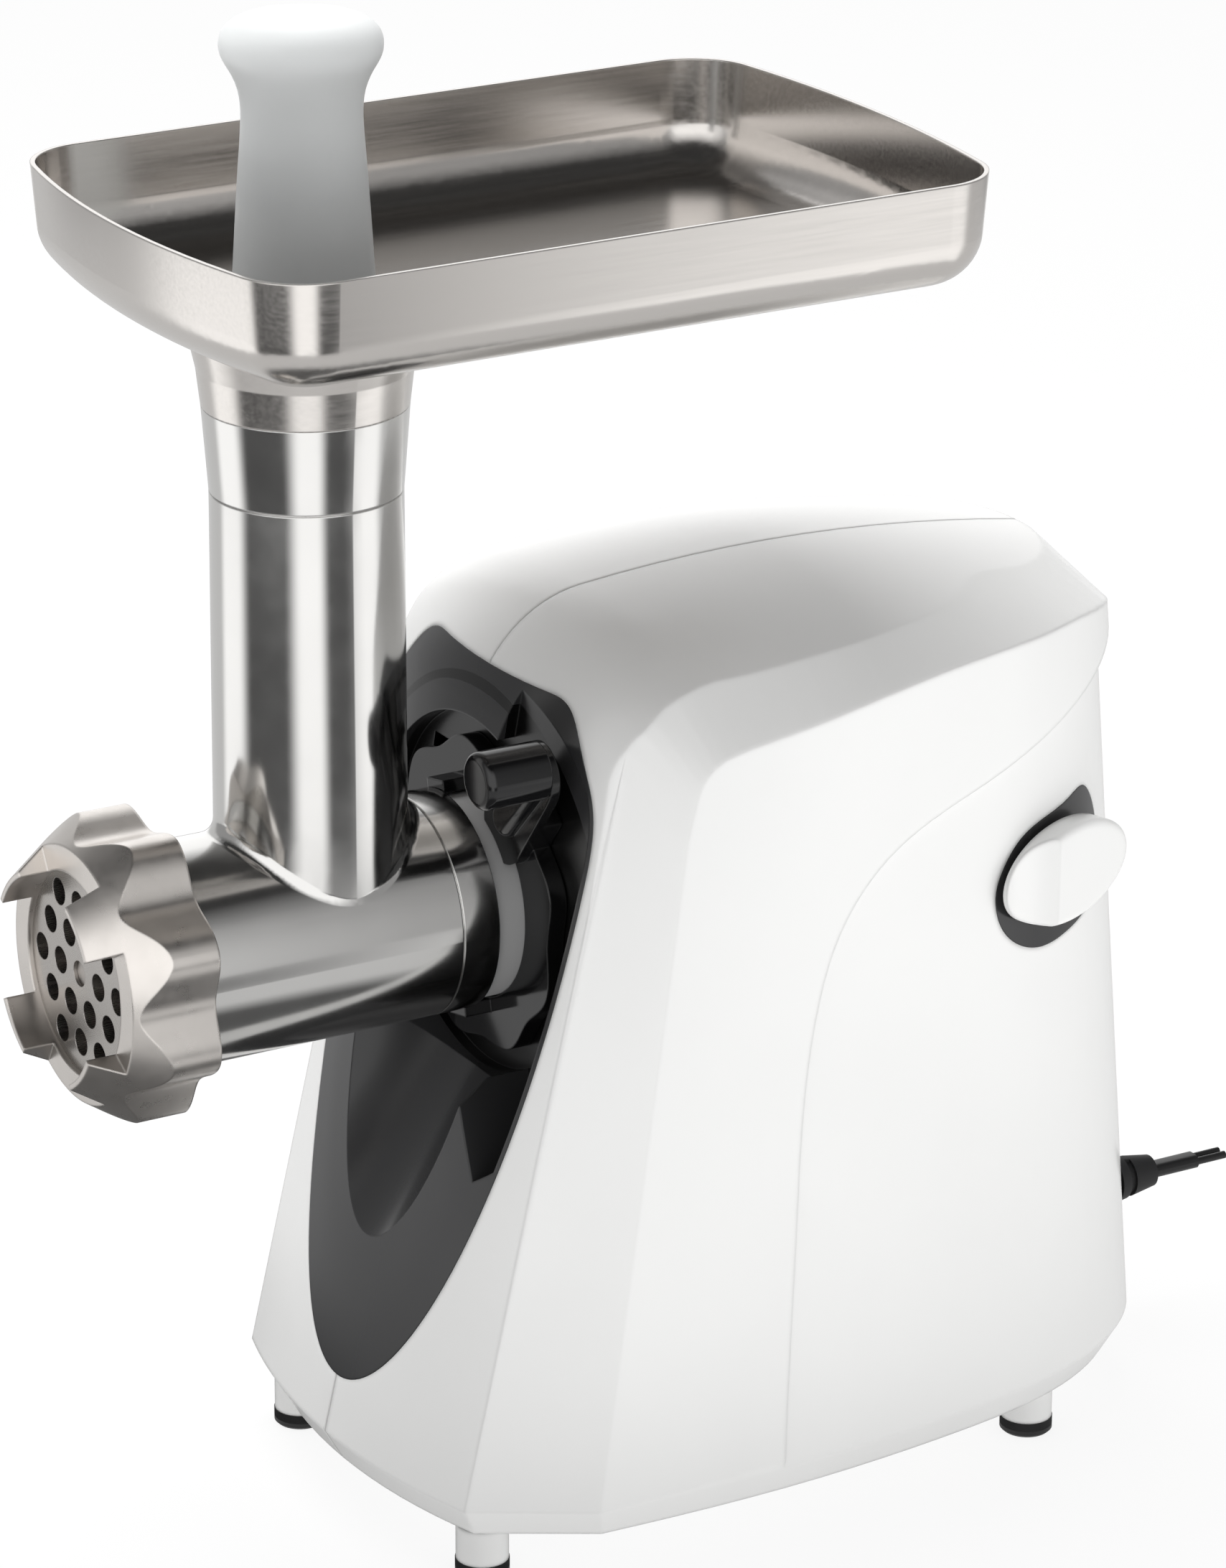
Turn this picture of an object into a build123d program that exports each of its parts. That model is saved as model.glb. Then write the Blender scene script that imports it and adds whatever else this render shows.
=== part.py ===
"""Electric meat grinder: every piece as its own solid, millimetres, +Z up, head towards -Y."""
import math
import os

from build123d import *

os.makedirs("parts", exist_ok=True)

# Shared axes
AXIS_Z = 177.6
NECK_Y = -112.5
FIT = 0.06
GAP = 0.35

# Housing body
BASE_Z = 15.0
EDGE_Z = 24.6
LOFT_TOP_Z = 272.0
LEAN = 0.2345
FRONT_Y = -110.3
FRONT_BOW = 9.9
BOW_X = 63.2
CROWN_PEAK = (27.0, 264.4)
CROWN_LONG_R = 514.0
CROWN_CROSS_R = 222.0
SHOULDER_R = 38.0
WALL_SCALE = 0.968
SHELL_CENTRE = (0.0, 16.0, 135.0)
SEAM_W = 0.3
SEAM_SCALE = 0.992
LOW_BASE = ((81.8, -68.8), (83.2, -10.0), (77.0, 57.0), (67.0, 97.5), (44.5, 130.5), (0.0, 143.0))
LOW_TOP = ((75.5, -30.7), (77.0, -3.0), (70.5, 47.0), (58.0, 89.0), (38.0, 113.5), (0.0, 126.5))
HIGH_BASE = ((81.8, -68.8), (84.2, -10.0), (79.3, 58.0), (70.5, 102.0), (47.5, 135.5), (0.0, 149.5))
HIGH_TOP = ((75.5, -30.7), (78.0, -3.0), (73.0, 49.0), (61.5, 90.5), (40.5, 115.5), (0.0, 129.5))
CORNER_BASE = (63.2, -100.6)
CORNER_TOP = (61.0, -41.0)
SWOOSH = ((-11.0, 5.0), (-10.0, 40.0), (-7.0, 95.0), (0.0, 160.0), (8.0, 181.0), (24.0, 198.0),
          (60.0, 212.0), (100.0, 227.0), (160.0, 247.0))
BAND = (((62.6, -62.0, 190.0), (80.0, -46.0, 178.0)), ((61.6, -49.3, 236.0), (77.2, -38.0, 219.0)),
        ((63.2, -39.0, 246.0), (78.2, -33.0, 230.0)), ((64.6, -26.0, 251.0), (78.2, -24.0, 236.0)),
        ((64.6, -4.6, 254.0), (77.6, -5.0, 241.0)), ((62.3, 23.0, 255.6), (75.6, 22.0, 245.5)),
        ((57.7, 53.0, 255.4), (71.8, 53.0, 248.2)), ((51.2, 75.3, 254.6), (66.2, 79.0, 249.0)),
        ((42.8, 92.0, 255.0), (59.0, 97.0, 248.6)), ((28.0, 106.0, 256.0), (42.0, 114.5, 246.0)),
        ((13.0, 113.0, 256.6), (20.0, 126.0, 242.5)), ((0.0, 114.4, 256.8), (0.0, 129.5, 241.0)))
BAND_STEPS = 3

# Front panel, keyhole recess and drip scoop
PANEL_TOP_Z = 243.5
PANEL_TOP_X = 30.0
PANEL_SHOULDER = ((45.2, 236.0), (53.1, 225.7))
PANEL_WIDE = (59.0, 201.0)
PANEL_LOW_Z = 41.1
PANEL_T = 3.5
POCKET_R = 51.0
POCKET_WALL = 2.5
POCKET_FLOOR_Y = -57.0
CASE_FRONT_Y = -54.0
SCOOP_TIP = (-97.5, 81.3)
SCOOP_R = 34.0
SCOOP_ANGLE = 37.5
RECESS_R = 78.0
RECESS_ANGLES = (-58.0, 74.0)
RECESS_LIP = 1.6

# Head socket and lock lever
SOCKET_R = 29.0
SOCKET_BORE = 24.0
LOCK_Y = (-62.5, -57.3)
LOCK_R = 43.0
LOCK_LOBE = 1.6
LOCK_LOBES = 9
PEG_AT = (42.6, 50.4)
PEG_R = 8.0
PEG_FRONT_Y = -85.2
RIB_H = 6.5
RIB_R = (5.0, 6.6)
ARM_STEP_R = 52.0
ARM_STEP = 6.0
ARM_RISE = 3.5
CLAW_DEG = (101.0, 281.0)
CLAW_W = 9.0
CLAW_T = 3.6

# Grinding head
BARREL_R = 30.9
BARREL_BORE = 27.0
SEAM_Y = -82.1
COLLAR_END_Y = -71.1
SPIGOT_END_Y = -56.5
REAR_WALL_Y = -77.0
SCREW_JOURNAL_R = 11.0
BELL_R = 34.0
BELL_REAR_Y = -160.8
BELL_FRONT_Y = -181.5
PLATE_FRONT_Y = -182.65
PLATE_T = 6.0
PLATE_R = 31.0
PLATE_HOLE_R = 3.76
PLATE_PITCH = 11.4
STUD_R = 3.5
NECK_SEAM_Z = 303.0
NECK_TOP_Z = 326.7
NECK_LOW_R = 26.5
NECK_R = 26.0
NECK_TOP_R = 27.8
NECK_BORE = 23.6
NECK_STEP_Z = 268.0
NECK_STEP_R = 20.4
SEAM_CUT = 0.4

# Ring nut
NUT_REAR_Y = -160.4
NUT_CREST_R = 42.3
NUT_LOBE = 2.8
NUT_LOBES = 8
NUT_CONE_Y = -173.9
NUT_LIP_Y = -184.4
NUT_FRONT_Y = -193.1
NUT_FRONT_R = 29.9
NUT_OPEN_R = 28.4
NUT_TAB_DEG = 32.0

# Feed screw and knife
SCREW_R = 26.3
SCREW_CORE_R = 9.5
SCREW_PITCH = 31.0
SCREW_Y = (-170.5, -78.0)
FLIGHT_T = 4.0
KNIFE_R = 25.5
SQUARE = 9.4

# Tray and pusher
RIM_Z = 382.9
TRAY_FLOOR_Z = 352.0
TRAY_T = 1.2
TRAY_X = 76.6
TRAY_Y = (-168.0, 64.3)
TRAY_BOW = (10.0, 7.0)
TRAY_CORNER = 20.0
TRAY_EDGE_R = 15.0
TRAY_DRAFT = 2.2
SPOUT_LOW_Z = 312.0
SPOUT_IN_R = 22.3
PUSHER_SIDE = ((12.0, 430.4), (15.6, 430.1), (18.7, 428.8), (20.7, 426.7), (21.5, 424.0), (20.9, 420.4),
               (19.0, 417.0), (17.4, 413.6), (16.3, 409.4), (16.0, 405.0), (16.3, 399.0), (17.1, 388.0),
               (18.7, 363.0), (20.2, 335.0), (21.3, 300.0), (21.7, 268.0))
PUSHER_WALL = 2.5

# Gear train: module, pinion teeth, wheel teeth, face
OUT_AXIS = (0.0, AXIS_Z)
SECOND_AXIS = (0.0, AXIS_Z - 40.5)
FIRST_AXIS = (25.0, AXIS_Z - 57.083)
MOTOR_AXIS = (0.0, AXIS_Z - 71.383)
STAGE3 = (1.5, 12, 42, -44.0, -30.0)
STAGE2 = (1.0, 12, 48, -26.0, -18.0)
STAGE1 = (0.8, 12, 60, -14.0, -8.0)
BACKLASH = 0.16
CASE_T = 3.0
CASE_WALL_Y = -50.0
COVER_Y = (-5.0, -1.0)
SPINDLE_R = 8.0
HEX_R = 7.2
SHAFT_R = 4.0
BUSH_R = 12.0

# Motor
STATOR_Y = (18.0, 62.0)
STATOR_HALF = 36.0
STATOR_BORE = 22.0
ARMATURE_R = 21.5
MOTOR_SHAFT_R = 3.0
BEARING_R = 8.0
BELL_T = 4.0
REAR_BELL_Y = 96.0
COMMUTATOR_R = 11.0
TIE_X = 31.0

# Control knob on the right side near the rear
KNOB_POINT = (64.55, 88.9, 175.5)
KNOB_TURN = 19.0
KNOB_R = 11.0
KNOB_OVAL = (24.2, 14.0)
KNOB_OFF = (-1.8, 2.6)
KNOB_TILT = 4.0
KNOB_CLEAR = -0.2
KNOB_SCOOP = 6.1
KNOB_SCOOP_R = 18.0
KNOB_SCOOP_X = -23.2
KNOB_PROUD = 7.0
KNOB_ROUND = 1.8
BEZEL_LEAF = ((-26.0, -2.0), (-20.0, -14.0), (-8.0, -19.5), (6.0, -18.8), (18.0, -15.5), (25.0, -9.0),
              (26.5, 2.0), (23.0, 14.0), (15.5, 21.0), (7.0, 20.0), (-4.0, 18.2), (-16.0, 14.5),
              (-23.0, 7.5))
KNOB_SEAT = -1.8
BEZEL_BACK = -8.0

# Feet, fixings and cord
FOOT_X = 54.0
FOOT_Y = 90.0
FOOT_R = 7.4
PAD_H = 4.5
FLOOR_Z = SHELL_CENTRE[2] - WALL_SCALE * (SHELL_CENTRE[2] - BASE_Z)
BOSS_R = 4.5
BOSSES = ((-75.0, 45.0), (20.0, 238.0), (100.0, 215.0), (104.0, 60.0))
SCREW_SHANK_R = 1.8
CORD_Z = 42.8
CORD_W = 6.4
CORD_H = 4.2
RELIEF_HOLE_R = 6.6
RELIEF_Y = (133.4, 136.2, 142.3, 158.0, 169.0)
RELIEF_SLOTS = (147.5, 153.0, 158.5)
JACKET_Y = (112.0, 185.0)
CORE_TIP_Y = 195.3
CORE_R = 1.15

# The sizes above are drawn from the centre of the feet; the written frame is centred between nut and sleeve
FRAME_Y = -(NUT_FRONT_Y + RELIEF_Y[4]) / 2


def box(x0, x1, y0, y1, z0, z1):
    """Axis-aligned block between two corners."""
    return Pos((x0 + x1) / 2, (y0 + y1) / 2, (z0 + z1) / 2) * Box(x1 - x0, y1 - y0, z1 - z0)


def along_y(sketch, y0, y1):
    """Extrude a sketch drawn in (X, Z) from y0 to y1."""
    return extrude(Plane((0, y1, 0), x_dir=(1, 0, 0), z_dir=(0, -1, 0)) * sketch, y1 - y0)


def along_x(sketch, x0, x1):
    """Extrude a sketch drawn in (Y, Z) from x0 to x1."""
    return extrude(Plane((x0, 0, 0), x_dir=(0, 1, 0), z_dir=(1, 0, 0)) * sketch, x1 - x0)


def along_z(sketch, z0, z1):
    """Extrude a sketch drawn in (X, Y) from z0 to z1."""
    return extrude(Pos(0, 0, z0) * sketch, z1 - z0)


def rod_y(r, y0, y1, axis=OUT_AXIS):
    """Round bar along Y."""
    return along_y(Pos(*axis) * Circle(r), y0, y1)


def rod_z(r, z0, z1, x=0.0, y=0.0):
    """Round bar along Z."""
    return along_z(Pos(x, y) * Circle(r), z0, z1)


def tube_y(r_in, r_out, y0, y1, axis=OUT_AXIS):
    """Round tube along Y."""
    return along_y(Pos(*axis) * (Circle(r_out) - Circle(r_in)), y0, y1)


def spin_y(points, axis=OUT_AXIS):
    """Turn a closed (radius, y) outline about a line along Y."""
    face = make_face(Polyline([(r, y) for r, y in points], close=True))
    return Pos(axis[0], 0, axis[1]) * revolve(face, Axis.Y)


def spin_z(points, x=0.0, y=0.0):
    """Turn a closed (radius, z) outline about a line along Z."""
    face = make_face(Polyline([(r, 0, z) for r, z in points], close=True))
    return Pos(x, y, 0) * revolve(face, Axis.Z)


def lean_y(z):
    """Y of the leaning front on the centre line at height z."""
    return FRONT_Y + LEAN * (z - EDGE_Z)


def outline(side, corner, front_y, z, sx=1.0, sy=1.0):
    """Plan outline of the housing at height z, scaled about the body centre."""
    cy = SHELL_CENTRE[1]

    def put(p, sign=1):
        return (sign * sx * p[0], cy + sy * (p[1] - cy), z)

    ahead = (0.0, front_y)
    right = Spline([put(p) for p in side])
    left = Spline([put(p, -1) for p in reversed(side)])
    front = ThreePointArc(put(corner, -1), put(ahead), put(corner))
    facets = [Line(put(corner), put(side[0])), Line(put(side[0], -1), put(corner, -1))]
    return make_face([front, right, left, *facets])


def front_block():
    """Solid behind the bowed leaning front and below the crowned top, shoulder rounded."""
    x = 100.0
    bow = FRONT_BOW * (x / BOW_X) ** 2
    faces = []
    for z in (0.0, 290.0):
        y = lean_y(z)
        arc = ThreePointArc((-x, y + bow, z), (0, y, z), (x, y + bow, z))
        rear = Polyline((x, y + bow, z), (x, 170, z), (-x, 170, z), (-x, y + bow, z))
        faces.append(make_face([arc, rear]))
    block = loft(faces, ruled=True)
    peak_y, peak_z = CROWN_PEAK
    drop = CROWN_CROSS_R - math.sqrt(CROWN_CROSS_R ** 2 - 110.0 ** 2)
    arc = ThreePointArc((-110, peak_y, peak_z - drop), (0, peak_y, peak_z), (110, peak_y, peak_z - drop))
    sides = Polyline((110, peak_y, peak_z - drop), (110, peak_y, -100), (-110, peak_y, -100),
                     (-110, peak_y, peak_z - drop))
    hub = Axis((0, peak_y, peak_z - CROWN_LONG_R), (1, 0, 0))
    half = make_face([arc, sides])
    crown = revolve(half.rotate(hub, 40), hub, -80)
    block = block & crown
    edge = block.edges().filter_by_position(Axis.Y, -80, -20).filter_by_position(Axis.Z, 225, 280)
    edge = edge.sort_by(Edge.length)[-1]
    return fillet(edge, SHOULDER_R)


def side_block(base, top):
    """Solid inside the plan outline from the bottom to above the top."""
    t = (BASE_Z - EDGE_Z) / (LOFT_TOP_Z - EDGE_Z)

    def low(a, b):
        return tuple(u + t * (v - u) for u, v in zip(a, b))

    ahead = 40.0
    side = [low(a, b) for a, b in zip(base, top)]
    bottom = outline(side, low(CORNER_BASE, CORNER_TOP), FRONT_Y - ahead, BASE_Z)
    upper = outline(top, CORNER_TOP, FRONT_Y - ahead, LOFT_TOP_Z)
    return loft([bottom, upper], ruled=True)


def base_chamfer():
    """Solid that trims the sloped band round the bottom edge."""
    faces = [outline(LOW_BASE, CORNER_BASE, FRONT_Y, BASE_Z, 0.937, 0.957),
             outline(LOW_BASE, CORNER_BASE, FRONT_Y, EDGE_Z, 1.001, 1.001),
             outline(LOW_BASE, CORNER_BASE, FRONT_Y, 300.0, 2.2, 2.2)]
    return loft(faces, ruled=True)


def smooth_run(points):
    """Points of a smooth curve through a row of points, BAND_STEPS to each gap."""
    row = [points[0], *points, points[-1]]
    run = []
    for p, q, r, s in zip(row, row[1:], row[2:], row[3:]):
        for i in range(BAND_STEPS):
            t = i / BAND_STEPS
            run.append(q + ((r - p) + ((2 * p - 5 * q + 4 * r - s) + (3 * q - p - 3 * r + s) * t) * t) * (t / 2))
    return [*run, points[-1]]


def band_cutter():
    """Wedge that trims the flat band between the sides and the crowned top."""
    pairs = [*BAND, *[((-a[0], a[1], a[2]), (-b[0], b[1], b[2])) for a, b in reversed(BAND[:-1])]]
    upper = smooth_run([Vector(*a) for a, _ in pairs])
    lower = smooth_run([Vector(*b) for _, b in pairs])
    centre = Vector(0, 20, 200)
    faces = []
    for a, b in zip(upper, lower):
        run = b - a
        inner = a - run * 0.9
        outer = b + run * 0.9
        mid = (a + b) / 2
        away = mid - centre
        away = away - run * (away.dot(run) / run.dot(run))
        faces.append(make_face(Polyline([inner, outer, mid + away.normalized() * 55.0], close=True)))
    return loft(faces, ruled=True)


def housing_body():
    """Outer form of the motor housing, and the same form without the raised part of its sides."""
    front = front_block() & base_chamfer() - band_cutter()
    low = side_block(LOW_BASE, LOW_TOP)
    curve = Spline([(y, z) for y, z in SWOOSH])
    below = make_face([curve, Polyline((160, SWOOSH[-1][1]), (160, 5), (SWOOSH[0][0], 5))])
    step = along_x(below, -100, 100) - low
    return (front & side_block(HIGH_BASE, HIGH_TOP)) - step, front & low


def scaled(solid, factor):
    """Copy of a solid scaled about the body centre."""
    return Pos(*[(1 - factor) * c for c in SHELL_CENTRE]) * scale(solid, by=factor)


def panel_sketch():
    """Teardrop outline of the front panel in (X, Z)."""
    x, z = PANEL_WIDE
    t = PANEL_TOP_X
    bend = [(t, PANEL_TOP_Z), *PANEL_SHOULDER, (x, z)]
    right = Spline(bend, tangents=[(1, 0), (0, -1)])
    left = Spline([(-u, v) for u, v in reversed(bend)], tangents=[(0, 1), (1, 0)])
    low = EllipticalCenterArc((0, z), x, z - PANEL_LOW_Z, start_angle=180, arc_size=180)
    return make_face([Line((-t, PANEL_TOP_Z), (t, PANEL_TOP_Z)), right, low, left])


def keyhole(grow):
    """Round pocket and lever sector in (X, Z), grown outward."""
    a, b = (math.radians(v) for v in RECESS_ANGLES)
    r = RECESS_R + grow
    side = math.degrees(grow / RECESS_R)
    a, b = a - math.radians(side), b + math.radians(side)
    m = (a + b) / 2
    ends = [(r * math.cos(t), r * math.sin(t)) for t in (a, m, b)]
    sector = make_face([Line((0, 0), ends[0]), ThreePointArc(*ends), Line(ends[2], (0, 0))])
    return Pos(*OUT_AXIS) * (Circle(POCKET_R + grow) + sector)


def recess():
    """The keyhole, kept inside the panel's edge."""
    edge = panel_sketch()
    lip = RECESS_LIP
    return keyhole(0) & Pos(-lip, 0) * edge & Pos(lip, 0) * edge & Pos(0, -lip) * edge


def scoop(r):
    """Sloping round bar that forms the drip scoop."""
    t = math.radians(SCOOP_ANGLE)
    run = Vector(0, math.sin(t), math.cos(t))
    start = Vector(0, SCOOP_TIP[0] - SCOOP_R * math.cos(t), SCOOP_TIP[1] + SCOOP_R * math.sin(t)) - run * 40
    return extrude(Plane(start, x_dir=(1, 0, 0), z_dir=run) * Circle(r), 170)


def front_panel(body):
    """Dark panel with its keyhole recess and drip scoop, cut from the front of the body."""
    zone = along_y(panel_sketch(), -140, -40)
    inside = body & zone & box(-100, 100, -140, CASE_FRONT_Y, 0, 300)
    skin = (body - Pos(0, PANEL_T, 0) * body) & zone
    hole = along_y(recess(), -140, POCKET_FLOOR_Y)
    tub = along_y(keyhole(POCKET_WALL), -140, CASE_FRONT_Y) & inside
    chute = scoop(SCOOP_R + POCKET_WALL) & inside & box(-60, 60, -140, CASE_FRONT_Y, 0, AXIS_Z)
    panel = skin + tub + chute
    panel = panel - hole - scoop(SCOOP_R)
    panel = panel - rod_y(SOCKET_R + GAP, -80, 0)
    return panel


def shell_bosses(body):
    """Screw posts that join the two housing halves across the parting plane."""
    posts = [along_x(Pos(y, z) * Circle(BOSS_R), -90, 90) for y, z in BOSSES]
    return (posts[0] + posts[1] + posts[2] + posts[3]) & body


def screw_holes():
    """Clearance and counterbores for the housing screws, driven from the left."""
    cut = []
    for y, z in BOSSES:
        cut.append(along_x(Pos(y, z) * Circle(SCREW_SHANK_R), -30, 12))
        cut.append(along_x(Pos(y, z) * Circle(4.0), -95, -27))
    return cut


def housing_screws():
    """Four long screws holding the halves together."""
    group = []
    for y, z in BOSSES:
        shank = along_x(Pos(y, z) * Circle(SCREW_SHANK_R), -30, 12)
        head = along_x(Pos(y, z) * Circle(3.6), -30, -27)
        slot = box(-31, -29, y - 2.8, y + 2.8, z - 0.5, z + 0.5)
        group.append(shank + head - slot)
    return Compound(children=group)


def knob_plane(w=0.0):
    """Plane square to the knob axis: local x runs to the rear, local y runs up."""
    t = math.radians(KNOB_TURN)
    n = Vector(math.cos(t), math.sin(t), 0)
    return Plane(Vector(*KNOB_POINT) + n * w, x_dir=(-math.sin(t), math.cos(t), 0), z_dir=n)


def knob_rod(r, w0, w1):
    """Round bar along the knob axis."""
    return extrude(knob_plane(w0) * Circle(r), w1 - w0)


def bezel_prism():
    """Leaf-shaped bar along the knob axis."""
    leaf = make_face(Spline(BEZEL_LEAF, periodic=True))
    return extrude(knob_plane(-14) * leaf, 40)


def base_sketch(z):
    """Outline of the bottom plate at height z."""
    return outline(LOW_BASE, CORNER_BASE, FRONT_Y, z, 0.70, 0.74)


def housing_parts(body, core):
    """Shell halves, bezel and bottom plate from the outer form and the form of the cavity."""
    cavity = scaled(core, WALL_SCALE)
    shell = body - cavity
    shell = shell - (box(-SEAM_W / 2, SEAM_W / 2, -200, 200, 0, 300) - scaled(body, SEAM_SCALE))
    leaf = bezel_prism()
    bezel = shell & leaf
    bezel = bezel + (knob_rod(20.0, BEZEL_BACK, KNOB_SEAT) & (cavity + (leaf & body)))
    bezel = bezel - knob_rod(KNOB_R + 0.6, KNOB_SEAT, 30) - knob_rod(3.0 + FIT, -20, 30)
    zone = along_y(panel_sketch(), -140, -40)
    shell = shell - zone - leaf
    shell = shell + (shell_bosses(body) - leaf)
    opening = extrude(base_sketch(BASE_Z), FLOOR_Z - BASE_Z)
    shell = shell - opening - rod_y(RELIEF_HOLE_R, 120, 160, (0, CORD_Z))
    for cut in screw_holes():
        shell = shell - cut
    right = shell & box(0, 120, -200, 200, 0, 300)
    left = shell & box(-120, 0, -200, 200, 0, 300)
    return left, right, bezel, opening


def control_knob():
    """Oval knob on a round hub, its front flank scooped so that a proud rear grip is left."""
    oval = Pos(*KNOB_OFF) * (Rot(0, 0, KNOB_TILT) * Ellipse(*KNOB_OVAL))
    grip = extrude(knob_plane(KNOB_CLEAR) * oval, KNOB_PROUD - KNOB_CLEAR)
    grip = fillet(grip.faces().sort_by(Axis(KNOB_POINT, knob_plane().z_dir))[-1].edges(), KNOB_ROUND)
    top = knob_plane(KNOB_PROUD + KNOB_SCOOP_R - KNOB_SCOOP)
    flank = Plane(top.origin + top.x_dir * KNOB_SCOOP_X, x_dir=top.x_dir, z_dir=(0, 0, 1))
    grip = grip - flank * Cylinder(KNOB_SCOOP_R, 60.0)
    return grip + knob_rod(KNOB_R, KNOB_SEAT + 0.4, KNOB_CLEAR) + knob_rod(3.0, -16.0, KNOB_SEAT + 1.0)


def rotary_switch():
    """Switch block behind the bezel."""
    block = extrude(knob_plane(-26.0) * RectangleRounded(26, 26, 3), 26.0 + BEZEL_BACK)
    tags = [extrude(knob_plane(-34.0) * (Pos(x, 0) * Rectangle(0.8, 6.3)), 8.0) for x in (-8.0, 0.0, 8.0)]
    return block + tags[0] + tags[1] + tags[2] - knob_rod(3.0 + FIT, -17.0, 0)


def grinder_head():
    """Cast barrel, feed neck and threaded bell."""
    barrel = rod_y(BARREL_R, BELL_REAR_Y, COLLAR_END_Y)
    neck = spin_z([(0, AXIS_Z), (NECK_LOW_R, AXIS_Z), (NECK_R, NECK_SEAM_Z), (NECK_TOP_R, NECK_TOP_Z),
                   (0, NECK_TOP_Z)], 0, NECK_Y)
    head = barrel + neck
    joint = [e for e in head.edges() if e.geom_type not in (GeomType.CIRCLE, GeomType.LINE)]
    joint = [e for e in joint if e.center().Z < AXIS_Z + 40]
    head = fillet(joint, 4.0)
    head = head + rod_y(BELL_R, BELL_FRONT_Y, BELL_REAR_Y)
    head = head + rod_y(SOCKET_BORE - 0.1, COLLAR_END_Y, SPIGOT_END_Y)
    seat_y = PLATE_FRONT_Y + PLATE_T
    head = head - rod_y(BARREL_BORE, seat_y, REAR_WALL_Y)
    head = head - rod_y(PLATE_R + 0.08, BELL_FRONT_Y - 1, seat_y)
    head = head - rod_y(SCREW_JOURNAL_R + FIT, REAR_WALL_Y - 1, SPIGOT_END_Y + 1)
    head = head - rod_z(NECK_STEP_R, AXIS_Z, NECK_STEP_Z, 0, NECK_Y)
    head = head - rod_z(NECK_BORE, NECK_STEP_Z, 340, 0, NECK_Y)
    c = SEAM_CUT
    head = head - tube_y(BARREL_R - c, BARREL_R + 2, SEAM_Y - c / 2, SEAM_Y + c / 2)
    groove = Circle(NECK_R + 3) - Circle(NECK_R - c)
    return head - along_z(Pos(0, NECK_Y) * groove, NECK_SEAM_Z - c / 2, NECK_SEAM_Z + c / 2)


def lobed(base, swing, count, turn):
    """Closed wavy outline with rounded lobes."""
    points = []
    steps = count * 4
    for i in range(steps):
        t = 2 * math.pi * i / steps
        r = base + swing * math.cos(count * t)
        points.append((r * math.cos(t + turn), r * math.sin(t + turn)))
    return make_face(Spline(points, periodic=True))


def ring_nut():
    """Lobed nut with a conical front, a lip over the plate and four tabs."""
    wave = lobed(NUT_CREST_R - NUT_LOBE, NUT_LOBE, NUT_LOBES, math.radians(22.5))
    nut = along_y(Pos(*OUT_AXIS) * wave, NUT_FRONT_Y, NUT_REAR_Y)
    cone = spin_y([(0, NUT_FRONT_Y), (NUT_FRONT_R, NUT_FRONT_Y), (NUT_CREST_R + 0.3, NUT_CONE_Y),
                   (NUT_CREST_R + 0.3, NUT_REAR_Y), (0, NUT_REAR_Y)])
    nut = nut & cone
    nut = nut - rod_y(BELL_R + 0.3, PLATE_FRONT_Y, NUT_REAR_Y)
    nut = nut - rod_y(NUT_OPEN_R, NUT_FRONT_Y - 1, PLATE_FRONT_Y)
    for quarter in range(4):
        a = math.radians(90 * quarter + 45 + NUT_TAB_DEG / 2)
        b = math.radians(90 * quarter + 135 - NUT_TAB_DEG / 2)
        ends = [(90 * math.cos(t), 90 * math.sin(t)) for t in (a, b)]
        wedge = make_face(Polyline((0, 0), *ends, close=True))
        nut = nut - along_y(Pos(*OUT_AXIS) * wedge, NUT_FRONT_Y - 1, NUT_LIP_Y)
    return nut


def grinding_plate():
    """Round plate with two rings of holes round the stud hole."""
    plate = Circle(PLATE_R) - Circle(STUD_R + FIT)
    for ring in (1, 2):
        for i in range(6 * ring):
            corner, step = divmod(i, ring)
            a = math.radians(60 * corner)
            b = math.radians(60 * corner + 120)
            x = PLATE_PITCH * (ring * math.cos(a) + step * math.cos(b))
            z = PLATE_PITCH * (ring * math.sin(a) + step * math.sin(b))
            plate = plate - Pos(x, z) * Circle(PLATE_HOLE_R)
    return along_y(Pos(*OUT_AXIS) * plate, PLATE_FRONT_Y, PLATE_FRONT_Y + PLATE_T)


def cutting_knife():
    """Cross-shaped knife with a square hole."""
    y1 = SCREW_Y[0] - 0.1
    blade = Circle(11.0)
    for i in range(4):
        arm = Pos(KNIFE_R / 2, 2.0) * Rectangle(KNIFE_R - 1.0, 9.0)
        blade = blade + Rot(0, 0, 90 * i) * arm
    blade = (blade & Circle(KNIFE_R)) - Rectangle(SQUARE + 0.2, SQUARE + 0.2)
    return along_y(Pos(*OUT_AXIS) * blade, PLATE_FRONT_Y + PLATE_T + 0.1, y1)


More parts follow.
